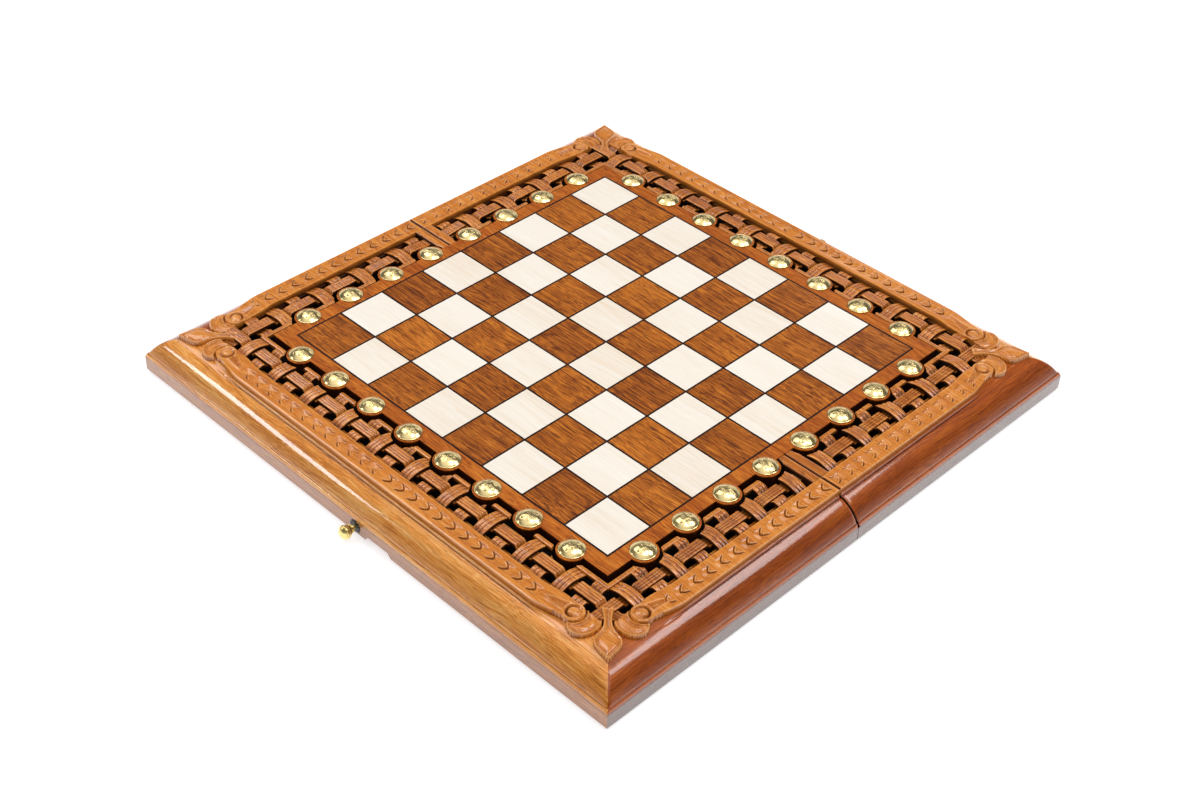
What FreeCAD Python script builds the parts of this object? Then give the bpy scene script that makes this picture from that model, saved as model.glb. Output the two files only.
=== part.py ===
import FreeCAD, Part
import math
import os

import Sketcher
from FreeCAD import Placement, Rotation, Vector

# A folding board for chess and backgammon: two shallow trays hinged along one edge.
# It lies open and flat with the chess side up. X runs along the fold, Y across it,
# Z up, and the origin is at the middle of the bottom. Lengths are in millimetres.

SIZES = [
    ("square", 41.5, "side of one square, middle of line to middle of line"),
    ("string_width", 1.6, "dark line between squares"),
    ("tile_thickness", 3.0, "squares and lines, let into the plate"),
    ("fold_gap", 0.3, "each half stands this far back from the fold"),
    ("plate_margin", 13.0, "plain wood from the field to the plate's edge"),
    ("plate_thickness", 13.5, "plate that carries the squares"),
    ("boss_radius", 11.0, "round boss under each stud"),
    ("stud_radius", 9.5, "brass stud"),
    ("stud_rim", 0.7, "upright rim of a stud"),
    ("stud_height", 4.2, "stud above the plate"),
    ("moat_width", 31.0, "carved lattice between plate and band"),
    ("band_width", 19.0, "flat band with the leaf chain"),
    ("band_thickness", 5.0, "band above the moulding's top"),
    ("flange_thickness", 8.0, "moulding below the band, above the panel"),
    ("moulding_width", 21.0, "from the band to the outside"),
    ("moulding_arc", 27.0, "radius of the moulding's round"),
    ("ledge_width", 1.8, "sloping ledge between the round and the wall"),
    ("ledge_height", 4.0, "fall of that ledge"),
    ("quirk_width", 1.6, "groove beside the moulding's top fillet"),
    ("quirk_depth", 2.0, "depth of that groove"),
    ("fillet_width", 2.0, "flat fillet beside the band"),
    ("round_drop", 1.4, "round's top below the fillet"),
    ("wall_thickness", 14.0, "tray wall"),
    ("wall_height", 11.5, "plain wall below the moulding"),
    ("tray_depth", 15.0, "rim to the playing surface inside"),
    ("lining_thickness", 1.0, "veneer with the long points"),
    ("panel_thickness", 6.0, "board between both playing surfaces"),
    ("panel_tongue", 3.0, "panel let into the mouldings"),
    ("rail_width", 12.0, "rail beside the fold"),
    ("point_length", 190.0, "long point of the inside field"),
    ("strip_thickness", 3.2, "woven strip"),
    ("strip_gap", 0.3, "between strips where they cross"),
    ("strip_drop", 0.9, "highest strip below the plate's top"),
    ("long_strip_width", 9.5, "strip that runs beside the band"),
    ("long_strip_inset", 10.5, "its middle to the band"),
    ("groove_width", 3.7, "open groove round the plate and its bosses"),
    ("inner_strip_width", 3.5, "narrow line beside that groove"),
    ("cross_strip_width", 10.5, "strip from that line to the band"),
    ("first_strip", 17.5, "middle of the first cross strip to the fold"),
    ("dip_length", 3.5, "cross strip's fall or rise beside the band"),
    ("edge_rail_width", 4.5, "low rail below the strips' outer ends"),
    ("border_width", 8.5, "strip that ends the lattice at the fold"),
    ("seat_gap", 0.3, "loose seat beside a round boss"),
    ("scroll_gap", 35.6, "scroll's middle to the band's outer corner"),
    ("bud_length", 36.0, "carved bud on the corner's diagonal"),
    ("bud_half_width", 8.5, "bud at its widest"),
    ("bud_tip_gap", 19.5, "bud's tip to the corner, each way"),
    ("bud_height", 4.5, "bud above the moulding's top"),
    ("leaf_radius", 10.0, "outer round of a crescent leaf"),
    ("leaf_shift", 10.2, "crescent's centre from the scroll's"),
    ("leaf_gap", 1.5, "between the scroll and the crescent"),
    ("leaf_height", 4.0, "crescent above the moulding's top"),
    ("knuckle_radius", 2.0, "hinge knuckle"),
    ("pin_radius", 1.0, "hinge pin"),
    ("pin_slack", 0.1, "pin in the turning knuckles"),
    ("axis_drop", 0.2, "hinge axis below the rims"),
    ("leaf_plate", 1.2, "hinge leaf thickness"),
    ("leaf_width", 10.0, "hinge leaf from the axis"),
    ("hinge_length", 50.0, "one hinge"),
    ("hinge_offset", 150.0, "hinge centre from the middle"),
    ("knuckle_gap", 0.2, "between two knuckles"),
    ("hinge_slack", 0.4, "round the knuckles and leaves"),
    ("screw_radius", 1.2, "screw's shank"),
    ("screw_head", 2.2, "screw's head"),
    ("screw_length", 9.0, "screw"),
    ("screw_slack", 0.05, "screw in its hole"),
    ("screw_spacing", 34.0, "between a leaf's two screws"),
    ("latch_offset", 3.0, "latch from the middle"),
    ("latch_height", 5.75, "posts above the rims"),
    ("rosette_radius", 5.2, "black rosette"),
    ("rosette_thickness", 0.8, "rosette"),
    ("post_radius", 1.9, "post's stem"),
    ("post_length", 4.6, "wall to the knob's collar"),
    ("post_depth", 9.0, "post's screw in the wall"),
    ("knob_radius", 5.6, "turned knob"),
    ("knob_length", 9.4, "knob"),
    ("hook_thickness", 1.5, "flat hook"),
    ("hook_stand_off", 0.6, "hook from the rosette"),
    ("hook_width", 5.2, "shank of the hook"),
    ("hook_eye_radius", 4.6, "eye round the post"),
    ("hook_tail", 20.0, "finger tail beyond the catch"),
    ("hook_lip", 3.4, "metal beyond the throat"),
    ("hook_slack", 0.35, "hook round a post"),
    ("notch_width", 27.0, "finger notch at its mouth"),
    ("notch_slope", 3.0, "notch's slanting ends"),
    ("notch_height", 3.5, "finger notch"),
    ("notch_depth", 6.0, "finger notch into the wall"),
    ("notch_offset", 27.0, "notch's middle from the board's"),
    ("overrun", 5.0, "every cut runs past its solid by this"),
]

ROWS_PER_HALF = 4
SQUARES_ACROSS = 8
POINTS_PER_SIDE = 6
STRIPS_PER_END = 20
STRIPS_PER_SIDE = 9

doc = FreeCAD.newDocument("games_board")
sheet = doc.addObject("Spreadsheet::Sheet", "Sizes")
for row, (alias, value, note) in enumerate(SIZES, start=1):
    sheet.set("A%d" % row, str(value))
    sheet.setAlias("A%d" % row, alias)
    sheet.set("B%d" % row, note)
doc.recompute()


def size(alias):
    return float(sheet.get(alias))


def value(expression):
    return float(sheet.evalExpression(expression))


# Places that follow from the sizes, as expressions of the sheet's cells.
# Distances across the board are from its middle, heights are above the rims.
FIELD = "Sizes.square * %d" % ROWS_PER_HALF
PLATE = "(%s + Sizes.plate_margin)" % FIELD
MOAT = "(%s + Sizes.moat_width)" % PLATE
BAND = "(%s + Sizes.band_width)" % MOAT
OUTSIDE = "(%s + Sizes.moulding_width)" % BAND
WALL = "(%s - Sizes.wall_thickness)" % OUTSIDE
TONGUE = "(%s + Sizes.panel_tongue)" % WALL
UNDERSIDE = "(Sizes.tray_depth + Sizes.lining_thickness)"
FLOOR = "(%s + Sizes.panel_thickness)" % UNDERSIDE
SHELF = "(%s + Sizes.flange_thickness)" % FLOOR
TOP = "(%s + Sizes.plate_thickness)" % FLOOR
RIM = "(Sizes.knuckle_radius + Sizes.axis_drop)"
RAIL = "(Sizes.fold_gap + Sizes.rail_width)"
SCROLL = "(%s - Sizes.scroll_gap)" % BAND
SCREW_LINE = "((Sizes.leaf_width + Sizes.knuckle_radius) / 2)"
ZERO = "0 * Sizes.square"

nodes = {}


def keep(name, thing, turn):
    # Every piece is drawn in the near half's place, above the rims, and the far
    # half is the same piece turned half round the upright axis.
    thing.Label = name
    base = Vector(0, 0, value(RIM))
    spin = Rotation(Vector(0, 0, 1), turn)
    thing.Placement = Placement(base, spin)
    thing.setExpression("Placement.Base.z", RIM)
    nodes[name] = thing
    return thing


def plane_of(body, role):
    for feature in body.Origin.OriginFeatures:
        if feature.Role == role:
            return feature
    raise ValueError("no plane " + role)


def attach(body, name, role, offset):
    sketch = body.newObject("Sketcher::SketchObject", name)
    sketch.AttachmentSupport = [(plane_of(body, role), "")]
    sketch.MapMode = "FlatFace"
    if offset is not None:
        sketch.AttachmentOffset = Placement(Vector(0, 0, value(offset)), Rotation())
        sketch.setExpression("AttachmentOffset.Base.z", offset)
    return sketch


def arc_between(start, end, radius, side):
    # The shorter arc from start to end; side 1 puts its centre on the left of the
    # way from start to end, side -1 on the right.
    middle = (start + end) * 0.5
    chord = end - start
    rise = math.sqrt(radius ** 2 - (chord.Length / 2) ** 2)
    across = Vector(-chord.y, chord.x, 0).normalize()
    centre = middle + across * (rise * side)
    circle = Part.Circle(centre, Vector(0, 0, 1), radius)
    first = math.atan2(start.y - centre.y, start.x - centre.x)
    last = math.atan2(end.y - centre.y, end.x - centre.x)
    if side < 0:
        first, last = last, first
    if last < first:
        last += 2 * math.pi
    return Part.ArcOfCircle(circle, first, last)


def draw_outline(sketch, corners):
    # Each corner is (x, y) or (x, y, radius, side), where the last two bend the edge
    # that leaves the corner. All are expressions, and each becomes a constraint.
    spots = []
    for corner in corners:
        spots.append(Vector(value(corner[0]), value(corner[1]), 0))
    starts = []
    ends = []
    for index, corner in enumerate(corners):
        start = spots[index]
        end = spots[(index + 1) % len(spots)]
        if len(corner) == 2:
            edge = sketch.addGeometry(Part.LineSegment(start, end), False)
            starts.append((edge, 1))
            ends.append((edge, 2))
            continue
        arc = arc_between(start, end, value(corner[2]), corner[3])
        edge = sketch.addGeometry(arc, False)
        starts.append((edge, 1) if corner[3] > 0 else (edge, 2))
        ends.append((edge, 2) if corner[3] > 0 else (edge, 1))
    add_rule = sketch.addConstraint
    for index in range(len(corners)):
        here = ends[index - 1]
        there = starts[index]
        add_rule(Sketcher.Constraint("Coincident", here[0], here[1], there[0], there[1]))
    for index, corner in enumerate(corners):
        edge, end = starts[index]
        for kind, place, now in (("DistanceX", corner[0], spots[index].x),
                                 ("DistanceY", corner[1], spots[index].y)):
            rule = add_rule(Sketcher.Constraint(kind, -1, 1, edge, end, now))
            sketch.setExpression("Constraints[%d]" % rule, place)
        if len(corner) == 4:
            rule = add_rule(Sketcher.Constraint("Radius", edge, value(corner[2])))
            sketch.setExpression("Constraints[%d]" % rule, corner[2])


def pad(body, sketch, name, length):
    feature = body.newObject("PartDesign::Pad", name)
    feature.Profile = sketch
    feature.Length = value(length)
    feature.setExpression("Length", length)
    body.Tip = feature
    doc.recompute()
    return feature


def pocket(body, sketch, name, length, backwards):
    # The volume before and after shows that the cut went into the solid.
    before = body.Shape.Volume
    feature = body.newObject("PartDesign::Pocket", name)
    feature.Profile = sketch
    feature.Length = value(length)
    feature.setExpression("Length", length)
    feature.Reversed = backwards
    body.Tip = feature
    doc.recompute()
    if not body.Shape.Volume < before:
        raise ValueError("%s of %s cuts nothing" % (name, body.Name))
    return feature


def new_body(name):
    body = doc.addObject("PartDesign::Body", name)
    doc.recompute()
    return body


def mitre(body, end, inner):
    # Cuts the bar's end square to the diagonal; end is -1 or 1 along X.
    over = "Sizes.overrun"
    reach = "(%s + %s)" % (OUTSIDE, over)
    near = "(%s - %s)" % (inner, over)
    sign = "-1 * " if end < 0 else "1 * "
    sketch = attach(body, body.Name + "_mitre_sketch_%d" % (end + 1), "XY_Plane", None)
    corners = [(sign + reach, "-1 * " + reach), (sign + reach, "-1 * " + near),
               (sign + near, "-1 * " + near)]
    draw_outline(sketch, corners if end < 0 else corners[::-1])
    pocket(body, sketch, body.Name + "_mitre_%d" % (end + 1),
           "%s + %s" % (TOP, over), True)


def bar(name, section, start, length, mitres, inner):
    # A length of one section along X, with the outside of the board at minus Y.
    body = new_body(name)
    sketch = attach(body, name + "_section", "YZ_Plane", start)
    draw_outline(sketch, section)
    pad(body, sketch, name + "_length", length)
    for end in mitres:
        mitre(body, end, inner)
    return body


def wall_section():
    return [("-1 * %s" % OUTSIDE, ZERO), ("-1 * %s" % WALL, ZERO),
            ("-1 * %s" % WALL, "Sizes.wall_height"), ("-1 * %s" % OUTSIDE, "Sizes.wall_height")]


def moulding_section():
    # Sloping ledge, long round, quirk and fillet outside; a shelf for the band on
    # top; a groove for the panel inside.
    foot = "-1 * (%s - Sizes.ledge_width)" % OUTSIDE
    step = "(Sizes.wall_height + Sizes.ledge_height)"
    quirk = "(%s + Sizes.fillet_width)" % BAND
    crown = "(%s + Sizes.quirk_width)" % quirk
    deep = "(%s + Sizes.quirk_width / 2)" % quirk
    return [
        ("-1 * %s" % WALL, "Sizes.wall_height"),
        ("-1 * %s" % WALL, UNDERSIDE),
        ("-1 * %s" % TONGUE, UNDERSIDE),
        ("-1 * %s" % TONGUE, FLOOR),
        ("-1 * %s" % MOAT, FLOOR),
        ("-1 * %s" % MOAT, SHELF),
        ("-1 * %s" % quirk, SHELF),
        ("-1 * %s" % deep, "%s - Sizes.quirk_depth" % SHELF),
        ("-1 * %s" % crown, "%s - Sizes.round_drop" % SHELF, "Sizes.moulding_arc", 1),
        (foot, step),
        ("-1 * %s" % OUTSIDE, "Sizes.wall_height"),
    ]


def rail_section():
    # The lower edge beside the fold is coved round the hinge's axis.
    cove = "(Sizes.knuckle_radius + Sizes.hinge_slack)"
    flat = "sqrt(%s ^ 2 - Sizes.axis_drop ^ 2)" % cove
    rise = "(sqrt(%s ^ 2 - Sizes.fold_gap ^ 2) - Sizes.axis_drop)" % cove
    return [
        ("-1 * %s" % RAIL, ZERO),
        ("-1 * %s" % flat, ZERO, cove, -1),
        ("-1 * Sizes.fold_gap", rise),
        ("-1 * Sizes.fold_gap", UNDERSIDE),
        ("-1 * %s" % RAIL, UNDERSIDE),
    ]


def rectangle(x_low, x_high, y_low, y_high):
    return [(x_low, y_low), (x_high, y_low), (x_high, y_high), (x_low, y_high)]


def circle_in(sketch, x, y, radius):
    ring = Part.Circle(Vector(value(x), value(y), 0), Vector(0, 0, 1), value(radius))
    edge = sketch.addGeometry(ring, False)
    for kind, place in (("DistanceX", x), ("DistanceY", y)):
        rule = sketch.addConstraint(Sketcher.Constraint(kind, -1, 1, edge, 3, value(place)))
        sketch.setExpression("Constraints[%d]" % rule, place)
    rule = sketch.addConstraint(Sketcher.Constraint("Radius", edge, value(radius)))
    sketch.setExpression("Constraints[%d]" % rule, radius)


def solids(name, shapes):
    feature = doc.addObject("Part::Feature", name)
    feature.Shape = shapes[0] if len(shapes) == 1 else Part.makeCompound(shapes)
    return feature


def block(x_low, x_high, y_low, y_high, z_low, z_high):
    corner = Vector(x_low, y_low, z_low)
    return Part.makeBox(x_high - x_low, y_high - y_low, z_high - z_low, corner)


def prism(points, direction):
    wire = Part.makePolygon(points + [points[0]])
    return Part.Face(wire).extrude(direction)


def frame_walls(half, turn):
    # Three walls and three mouldings, mitred at the outside corners.
    whole = "2 * %s" % OUTSIDE
    part = "%s - Sizes.fold_gap" % OUTSIDE
    runs = [
        ("end", "-1 * %s" % OUTSIDE, whole, (-1, 1), 0),
        ("left", "Sizes.fold_gap", part, (1,), -90),
        ("right", "-1 * %s" % OUTSIDE, part, (-1,), 90),
    ]
    for side, start, length, mitres, spin in runs:
        side = side if turn == 0 or side == "end" else {"left": "right", "right": "left"}[side]
        name = "%s_%s_wall" % (half, side)
        wall = bar(name, wall_section(), start, length, mitres, WALL)
        if side == "end":
            post_hole(wall, half)
        if name == "near_end_wall":
            finger_notch(wall)
        keep(name, wall, turn + spin)
        name = "%s_%s_moulding" % (half, side)
        moulding = bar(name, moulding_section(), start, length, mitres, MOAT)
        keep(name, moulding, turn + spin)


def latch_place(half):
    return "Sizes.latch_offset" if half == "near" else "-1 * Sizes.latch_offset"


def post_hole(wall, half):
    sketch = attach(wall, wall.Name + "_hole_sketch", "XZ_Plane", OUTSIDE)
    circle_in(sketch, latch_place(half), "Sizes.latch_height", "Sizes.post_radius")
    pocket(wall, sketch, wall.Name + "_hole", "Sizes.post_depth", False)


def finger_notch(wall):
    sketch = attach(wall, wall.Name + "_notch_sketch", "XZ_Plane", OUTSIDE)
    low = "(Sizes.notch_offset - Sizes.notch_width / 2)"
    high = "(Sizes.notch_offset + Sizes.notch_width / 2)"
    below = "-1 * Sizes.overrun"
    draw_outline(sketch, [
        (low, below), (high, below), (high, ZERO),
        ("%s - Sizes.notch_slope" % high, "Sizes.notch_height"),
        ("%s + Sizes.notch_slope" % low, "Sizes.notch_height"), (low, ZERO)])
    pocket(wall, sketch, wall.Name + "_notch", "Sizes.notch_depth", False)


def fold_rail(half, turn):
    name = half + "_fold_rail"
    body = bar(name, rail_section(), "-1 * %s" % WALL, "2 * %s" % WALL, (), WALL)
    deep = "(Sizes.leaf_width + Sizes.hinge_slack)"
    for index, sign in enumerate(("-1 * ", "1 * ")):
        centre = sign + "Sizes.hinge_offset"
        reach = "(Sizes.hinge_length / 2 + Sizes.hinge_slack)"
        sketch = attach(body, name + "_mortise_sketch_%d" % index, "XY_Plane", None)
        draw_outline(sketch, rectangle("%s - %s" % (centre, reach), "%s + %s" % (centre, reach),
                                       "-1 * %s" % deep, ZERO))
        pocket(body, sketch, name + "_mortise_%d" % index, "Sizes.leaf_plate", True)
        for hole, way in enumerate((" - ", " + ")):
            sketch = attach(body, name + "_pilot_sketch_%d%d" % (index, hole), "XY_Plane", None)
            circle_in(sketch, centre + way + "Sizes.screw_spacing / 2",
                      "-1 * " + SCREW_LINE, "Sizes.screw_radius + Sizes.screw_slack")
            pocket(body, sketch, name + "_pilot_%d%d" % (index, hole),
                   "Sizes.screw_length + Sizes.screw_slack", True)
    keep(name, body, turn)


def base_panel(half, turn):
    name = half + "_base_panel"
    body = new_body(name)
    sketch = attach(body, name + "_outline", "XY_Plane", UNDERSIDE)
    draw_outline(sketch, rectangle("-1 * %s" % TONGUE, TONGUE,
                                   "-1 * %s" % TONGUE, "-1 * Sizes.fold_gap"))
    pad(body, sketch, name + "_board", "Sizes.panel_thickness")
    keep(name, body, turn)


def stud_places():
    # Middles of the bosses and studs of one half, at the middle of every square.
    edge = value(PLATE)
    square = size("square")
    places = []
    for column in range(SQUARES_ACROSS):
        across = (column - (SQUARES_ACROSS - 1) / 2) * square
        places.append(Vector(across, -edge, 0))
    for line in range(ROWS_PER_HALF):
        along = -(line + 0.5) * square
        places.append(Vector(-edge, along, 0))
        places.append(Vector(edge, along, 0))
    return places


def field_plate(half, turn):
    edge = value(PLATE)
    floor, top = value(FLOOR), value(TOP)
    gap = size("fold_gap")
    plate = block(-edge, edge, -edge, -gap, floor, top)
    bosses = []
    for place in stud_places():
        foot = Vector(place.x, place.y, floor)
        bosses.append(Part.makeCylinder(size("boss_radius"), top - floor, foot))
    plate = plate.multiFuse(bosses).removeSplitter()
    rim = value(FIELD) + size("string_width") / 2
    bed = block(-rim, rim, -rim, size("overrun"), top - size("tile_thickness"),
                top + size("overrun"))
    name = half + "_field_plate"
    keep(name, solids(name, [plate.cut(bed)]), turn)


def tile_spans():
    # Each square's edges along X and along Y, inside the dark lines.
    square = size("square")
    half_line = size("string_width") / 2
    columns = []
    for column in range(SQUARES_ACROSS):
        left = (column - SQUARES_ACROSS / 2) * square
        columns.append((left + half_line, left + square - half_line))
    rows = []
    for line in range(ROWS_PER_HALF):
        rows.append((-(line + 1) * square + half_line, -line * square - half_line))
    return columns, rows


def squares(half, turn):
    columns, rows = tile_spans()
    low = value(TOP) - size("tile_thickness")
    high = value(TOP)
    tiles = {"light": [], "dark": []}
    for column, (left, right) in enumerate(columns):
        for line, (front, back) in enumerate(rows):
            rank = ROWS_PER_HALF - 1 - line
            kind = "dark" if (column + rank) % 2 == 0 else "light"
            tiles[kind].append(block(left, right, front, back, low, high))
    for kind, shapes in tiles.items():
        name = "%s_%s_squares" % (half, kind)
        keep(name, solids(name, shapes), turn)


def string_inlay(half, turn):
    columns, rows = tile_spans()
    low = value(TOP) - size("tile_thickness")
    rim = value(FIELD) + size("string_width") / 2
    gap = size("fold_gap")

    def loop(left, right, front, back):
        corners = [Vector(left, front, low), Vector(right, front, low),
                   Vector(right, back, low), Vector(left, back, low)]
        return Part.makePolygon(corners + corners[:1])

    wires = [loop(-rim, rim, -rim, -gap)]
    for left, right in columns:
        for front, back in rows:
            wires.append(loop(left, right, front, back))
    grid = Part.makeFace(wires, "Part::FaceMakerBullseye")
    name = half + "_string_inlay"
    keep(name, solids(name, [grid.extrude(Vector(0, 0, size("tile_thickness")))]), turn)


def scroll_spot():
    # A scroll's middle: distance along its band, distance out from the board's middle.
    return value(SCROLL), (value(MOAT) + value(BAND)) / 2


def laurel_bands(half, turn):
    # Flat bands on the mouldings' shelf. Each ends in a round scroll beside a corner.
    inner, outer = value(MOAT), value(BAND)
    along, middle = scroll_spot()
    reach = along + (outer - inner) / 2
    shelf = value(SHELF)
    up = Vector(0, 0, size("band_thickness"))
    gap = size("fold_gap")

    def spot(x, y):
        return Vector(x, y, shelf)

    def slab(edges):
        return Part.Face(Part.Wire(edges)).extrude(up)

    shapes = []
    for sign in (-1, 1):
        first, second = spot(sign * inner, -gap), spot(sign * inner, -along)
        third, fourth = spot(sign * outer, -along), spot(sign * outer, -gap)
        tip = spot(sign * middle, -reach)
        shapes.append(slab([
            Part.makeLine(first, second), Part.Arc(second, tip, third).toShape(),
            Part.makeLine(third, fourth), Part.makeLine(fourth, first)]))
    corners = [spot(along, -outer), spot(along, -inner), spot(-along, -inner),
               spot(-along, -outer)]
    shapes.append(slab([
        Part.Arc(corners[0], spot(reach, -middle), corners[1]).toShape(),
        Part.makeLine(corners[1], corners[2]),
        Part.Arc(corners[2], spot(-reach, -middle), corners[3]).toShape(),
        Part.makeLine(corners[3], corners[0])]))
    name = half + "_laurel_bands"
    keep(name, solids(name, shapes), turn)


# Half the bud's outline from its stem to its tip: distance along, distance out.
BUD_SHARES = [(0.0, 0.46), (0.08, 0.34), (0.2, 0.28), (0.36, 0.50), (0.53, 0.92),
              (0.64, 1.0), (0.82, 0.62), (1.0, 0.0)]


def corner_carvings(half, turn):
    # A bud on each corner's diagonal, with a crescent leaf on either side.
    shelf = value(SHELF)
    stop, middle = scroll_spot()
    scroll_radius = (value(BAND) - value(MOAT)) / 2
    tip = value(OUTSIDE) - size("bud_tip_gap")
    shapes = []
    for sign in (-1, 1):
        outward = Vector(sign, -1, 0).normalize()
        across = Vector(outward.y, -outward.x, 0)
        end = Vector(sign * tip, -tip, shelf)
        stem = end - outward * size("bud_length")
        sides = {}
        for way in (-1, 1):
            sides[way] = [stem + outward * (size("bud_length") * along)
                          + across * (size("bud_half_width") * out * way)
                          for along, out in BUD_SHARES[:-1]]
        outline = sides[1] + [end] + sides[-1][::-1]
        bud = prism(outline, Vector(0, 0, size("bud_height")))
        shapes.append(bud)
        centres = [(Vector(sign * middle, -stop, shelf), Vector(0, -1, 0)),
                   (Vector(sign * stop, -middle, shelf), Vector(sign, 0, 0))]
        for centre, onward in centres:
            height = size("leaf_height")
            leaf = Part.makeCylinder(size("leaf_radius"), height,
                                     centre + onward * size("leaf_shift"))
            hole = Part.makeCylinder(scroll_radius + size("leaf_gap"), height, centre)
            shapes.append(leaf.cut(hole).cut(bud))
    name = half + "_corner_carvings"
    keep(name, solids(name, shapes), turn)


def weave_heights():
    thick = size("strip_thickness")
    swing = (thick + size("strip_gap")) / 2
    middle = value(TOP) - size("strip_drop") - swing - thick / 2
    return middle, swing, thick


def strip(crossings, width, along, low_side, ends):
    # crossings are (place, half width, level) of what the strip meets, in order, with
    # level 1 where it goes over and -1 where it goes under. It is level there and
    # slopes in between. along is "x" or "y", low_side its lower edge on the other axis.
    middle, swing, thick = weave_heights()
    margin = size("strip_gap") / 2
    line = []
    for place, half_width, level in crossings:
        reach = half_width + margin
        line.append((max(place - reach, ends[0]), middle + swing * level))
        line.append((min(place + reach, ends[1]), middle + swing * level))
    if line[0][0] > ends[0]:
        line.insert(0, (ends[0], middle))
    if line[-1][0] < ends[1]:
        line.append((ends[1], middle))
    rim = [(place, height + thick / 2) for place, height in line]
    rim += [(place, height - thick / 2) for place, height in reversed(line)]
    if along == "x":
        points = [Vector(place, low_side, height) for place, height in rim]
        return prism(points, Vector(0, width, 0))
    points = [Vector(low_side, place, height) for place, height in rim]
    return prism(points, Vector(width, 0, 0))


def mirrored(crossings):
    return [(-place, half_width, level) for place, half_width, level in reversed(crossings)]


def weave_lines():
    # Middle of the long strip, and both edges of the narrow line beside the plate.
    first = value(PLATE) + size("groove_width")
    return value(MOAT) - size("long_strip_inset"), first, first + size("inner_strip_width")


def lead(half):
    # The two halves mirror each other's weave over the fold.
    return 1 if half == "near" else -1


def end_places(half):
    # (place, level) of the cross strips along an end, from its left corner to its
    # right one. Level 1 goes over the long strip, and -1 under it.
    line = weave_lines()[0]
    pitch = 2 * line / (STRIPS_PER_END + 1)
    return [((number + 1) * pitch - line, lead(half) * (-1) ** number)
            for number in range(STRIPS_PER_END)]


def side_places(half, sign):
    # The same along a side, from the fold to the corner. Sign is 1 on the right.
    start = size("first_strip")
    pitch = (weave_lines()[0] - start) / STRIPS_PER_SIDE
    return [(start + number * pitch, sign * lead(half) * (-1) ** number)
            for number in range(STRIPS_PER_SIDE)]


def long_crossings(places):
    # A long strip goes under what passes over it.
    reach = size("cross_strip_width") / 2
    return [(place, reach, -level) for place, level in places]


def corner_wedge(sign):
    # Cuts the long strips off square to the corner's diagonal, beside the bud's stem.
    corner = value(BAND) + size("moulding_width")
    stem = corner - size("bud_tip_gap") - size("bud_length") / math.sqrt(2)
    total = 2 * stem - size("seat_gap")
    far = value(BAND)
    points = [Vector(sign * far, far - total, 0), Vector(sign * far, -far, 0),
              Vector(sign * (total - far), -far, 0)]
    return prism(points, Vector(0, 0, value(TOP)))


def long_strips(half, turn):
    line = weave_lines()[0]
    moat, floor = value(MOAT), value(FLOOR)
    begin = size("fold_gap") + size("border_width")
    wide, rail = size("long_strip_width"), size("edge_rail_width")
    middle, swing, thick = weave_heights()
    shapes = []
    ends = {}
    for sign in (-1, 1):
        level = sign * lead(half)
        run = long_crossings(side_places(half, sign)) + [(line, wide / 2, level)]
        low = sign * line - wide / 2
        shapes.append(strip(mirrored(run), wide, "y", low, (-moat, -begin)))
        ends[sign] = [(sign * line, wide / 2, -level)]
    run = ends[-1] + long_crossings(end_places(half)) + ends[1]
    shapes.append(strip(run, wide, "x", -line - wide / 2, (-moat, moat)))
    wedges = [corner_wedge(-1), corner_wedge(1)]
    shapes = [shape.cut(wedges) for shape in shapes]
    crown = middle - swing - thick / 2 - size("strip_gap")
    sill = block(-moat, moat, -moat, rail - moat, floor, crown)
    arms = [block(-moat, rail - moat, -moat, -begin, floor, crown),
            block(moat - rail, moat, -moat, -begin, floor, crown)]
    shapes.append(sill.multiFuse(arms).removeSplitter())
    name = half + "_lattice_long_strips"
    keep(name, solids(name, shapes), turn)


def cross_runs(half):
    # What each cross strip meets, from the plate outwards.
    line = weave_lines()[0]
    moat, dip = value(MOAT), size("dip_length")
    reach = size("long_strip_width") / 2
    over = [(line, reach, 1), (moat, dip, -1)]
    under = [(line, reach, -1), (moat - dip * 2 / 3, dip / 3, 1)]
    return {1: over, -1: under}


def cross_strips(half, turn):
    line, first, last = weave_lines()
    plate, moat, floor = value(PLATE), value(MOAT), value(FLOOR)
    middle, swing, thick = weave_heights()
    wide = size("cross_strip_width")
    gap, begin = size("fold_gap"), size("fold_gap") + size("border_width")
    runs = cross_runs(half)
    low, high = middle - thick / 2, middle + thick / 2
    inner = block(-last, last, -last, -first, low, high)
    shapes = []
    for place, level in end_places(half):
        run = mirrored(runs[level])
        shapes.append(strip(run, wide, "y", place - wide / 2, (-moat, -first)))
    crown = value(TOP) - size("plate_thickness") + size("flange_thickness")
    crown += size("band_thickness")
    for sign in (-1, 1):
        for place, level in side_places(half, sign):
            run, ends = runs[level], (first, moat)
            if sign < 0:
                run, ends = mirrored(run), (-moat, -first)
            shapes.append(strip(run, wide, "x", -place - wide / 2, ends))
        near_edge, far_edge = sorted((sign * first, sign * last))
        shapes.append(block(near_edge, far_edge, -last, -begin, low, high))
        near_edge, far_edge = sorted((sign * plate, sign * moat))
        shapes.append(block(near_edge, far_edge, -begin, -gap, floor, crown))
    grooves = []
    for place in stud_places():
        foot = Vector(place.x, place.y, low - swing)
        grooves.append(Part.makeCylinder(size("boss_radius") + size("groove_width"),
                                         crown, foot))
    carved = inner.multiFuse(shapes).cut(grooves).removeSplitter()
    name = half + "_lattice_cross_strips"
    keep(name, solids(name, [carved]), turn)


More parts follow.
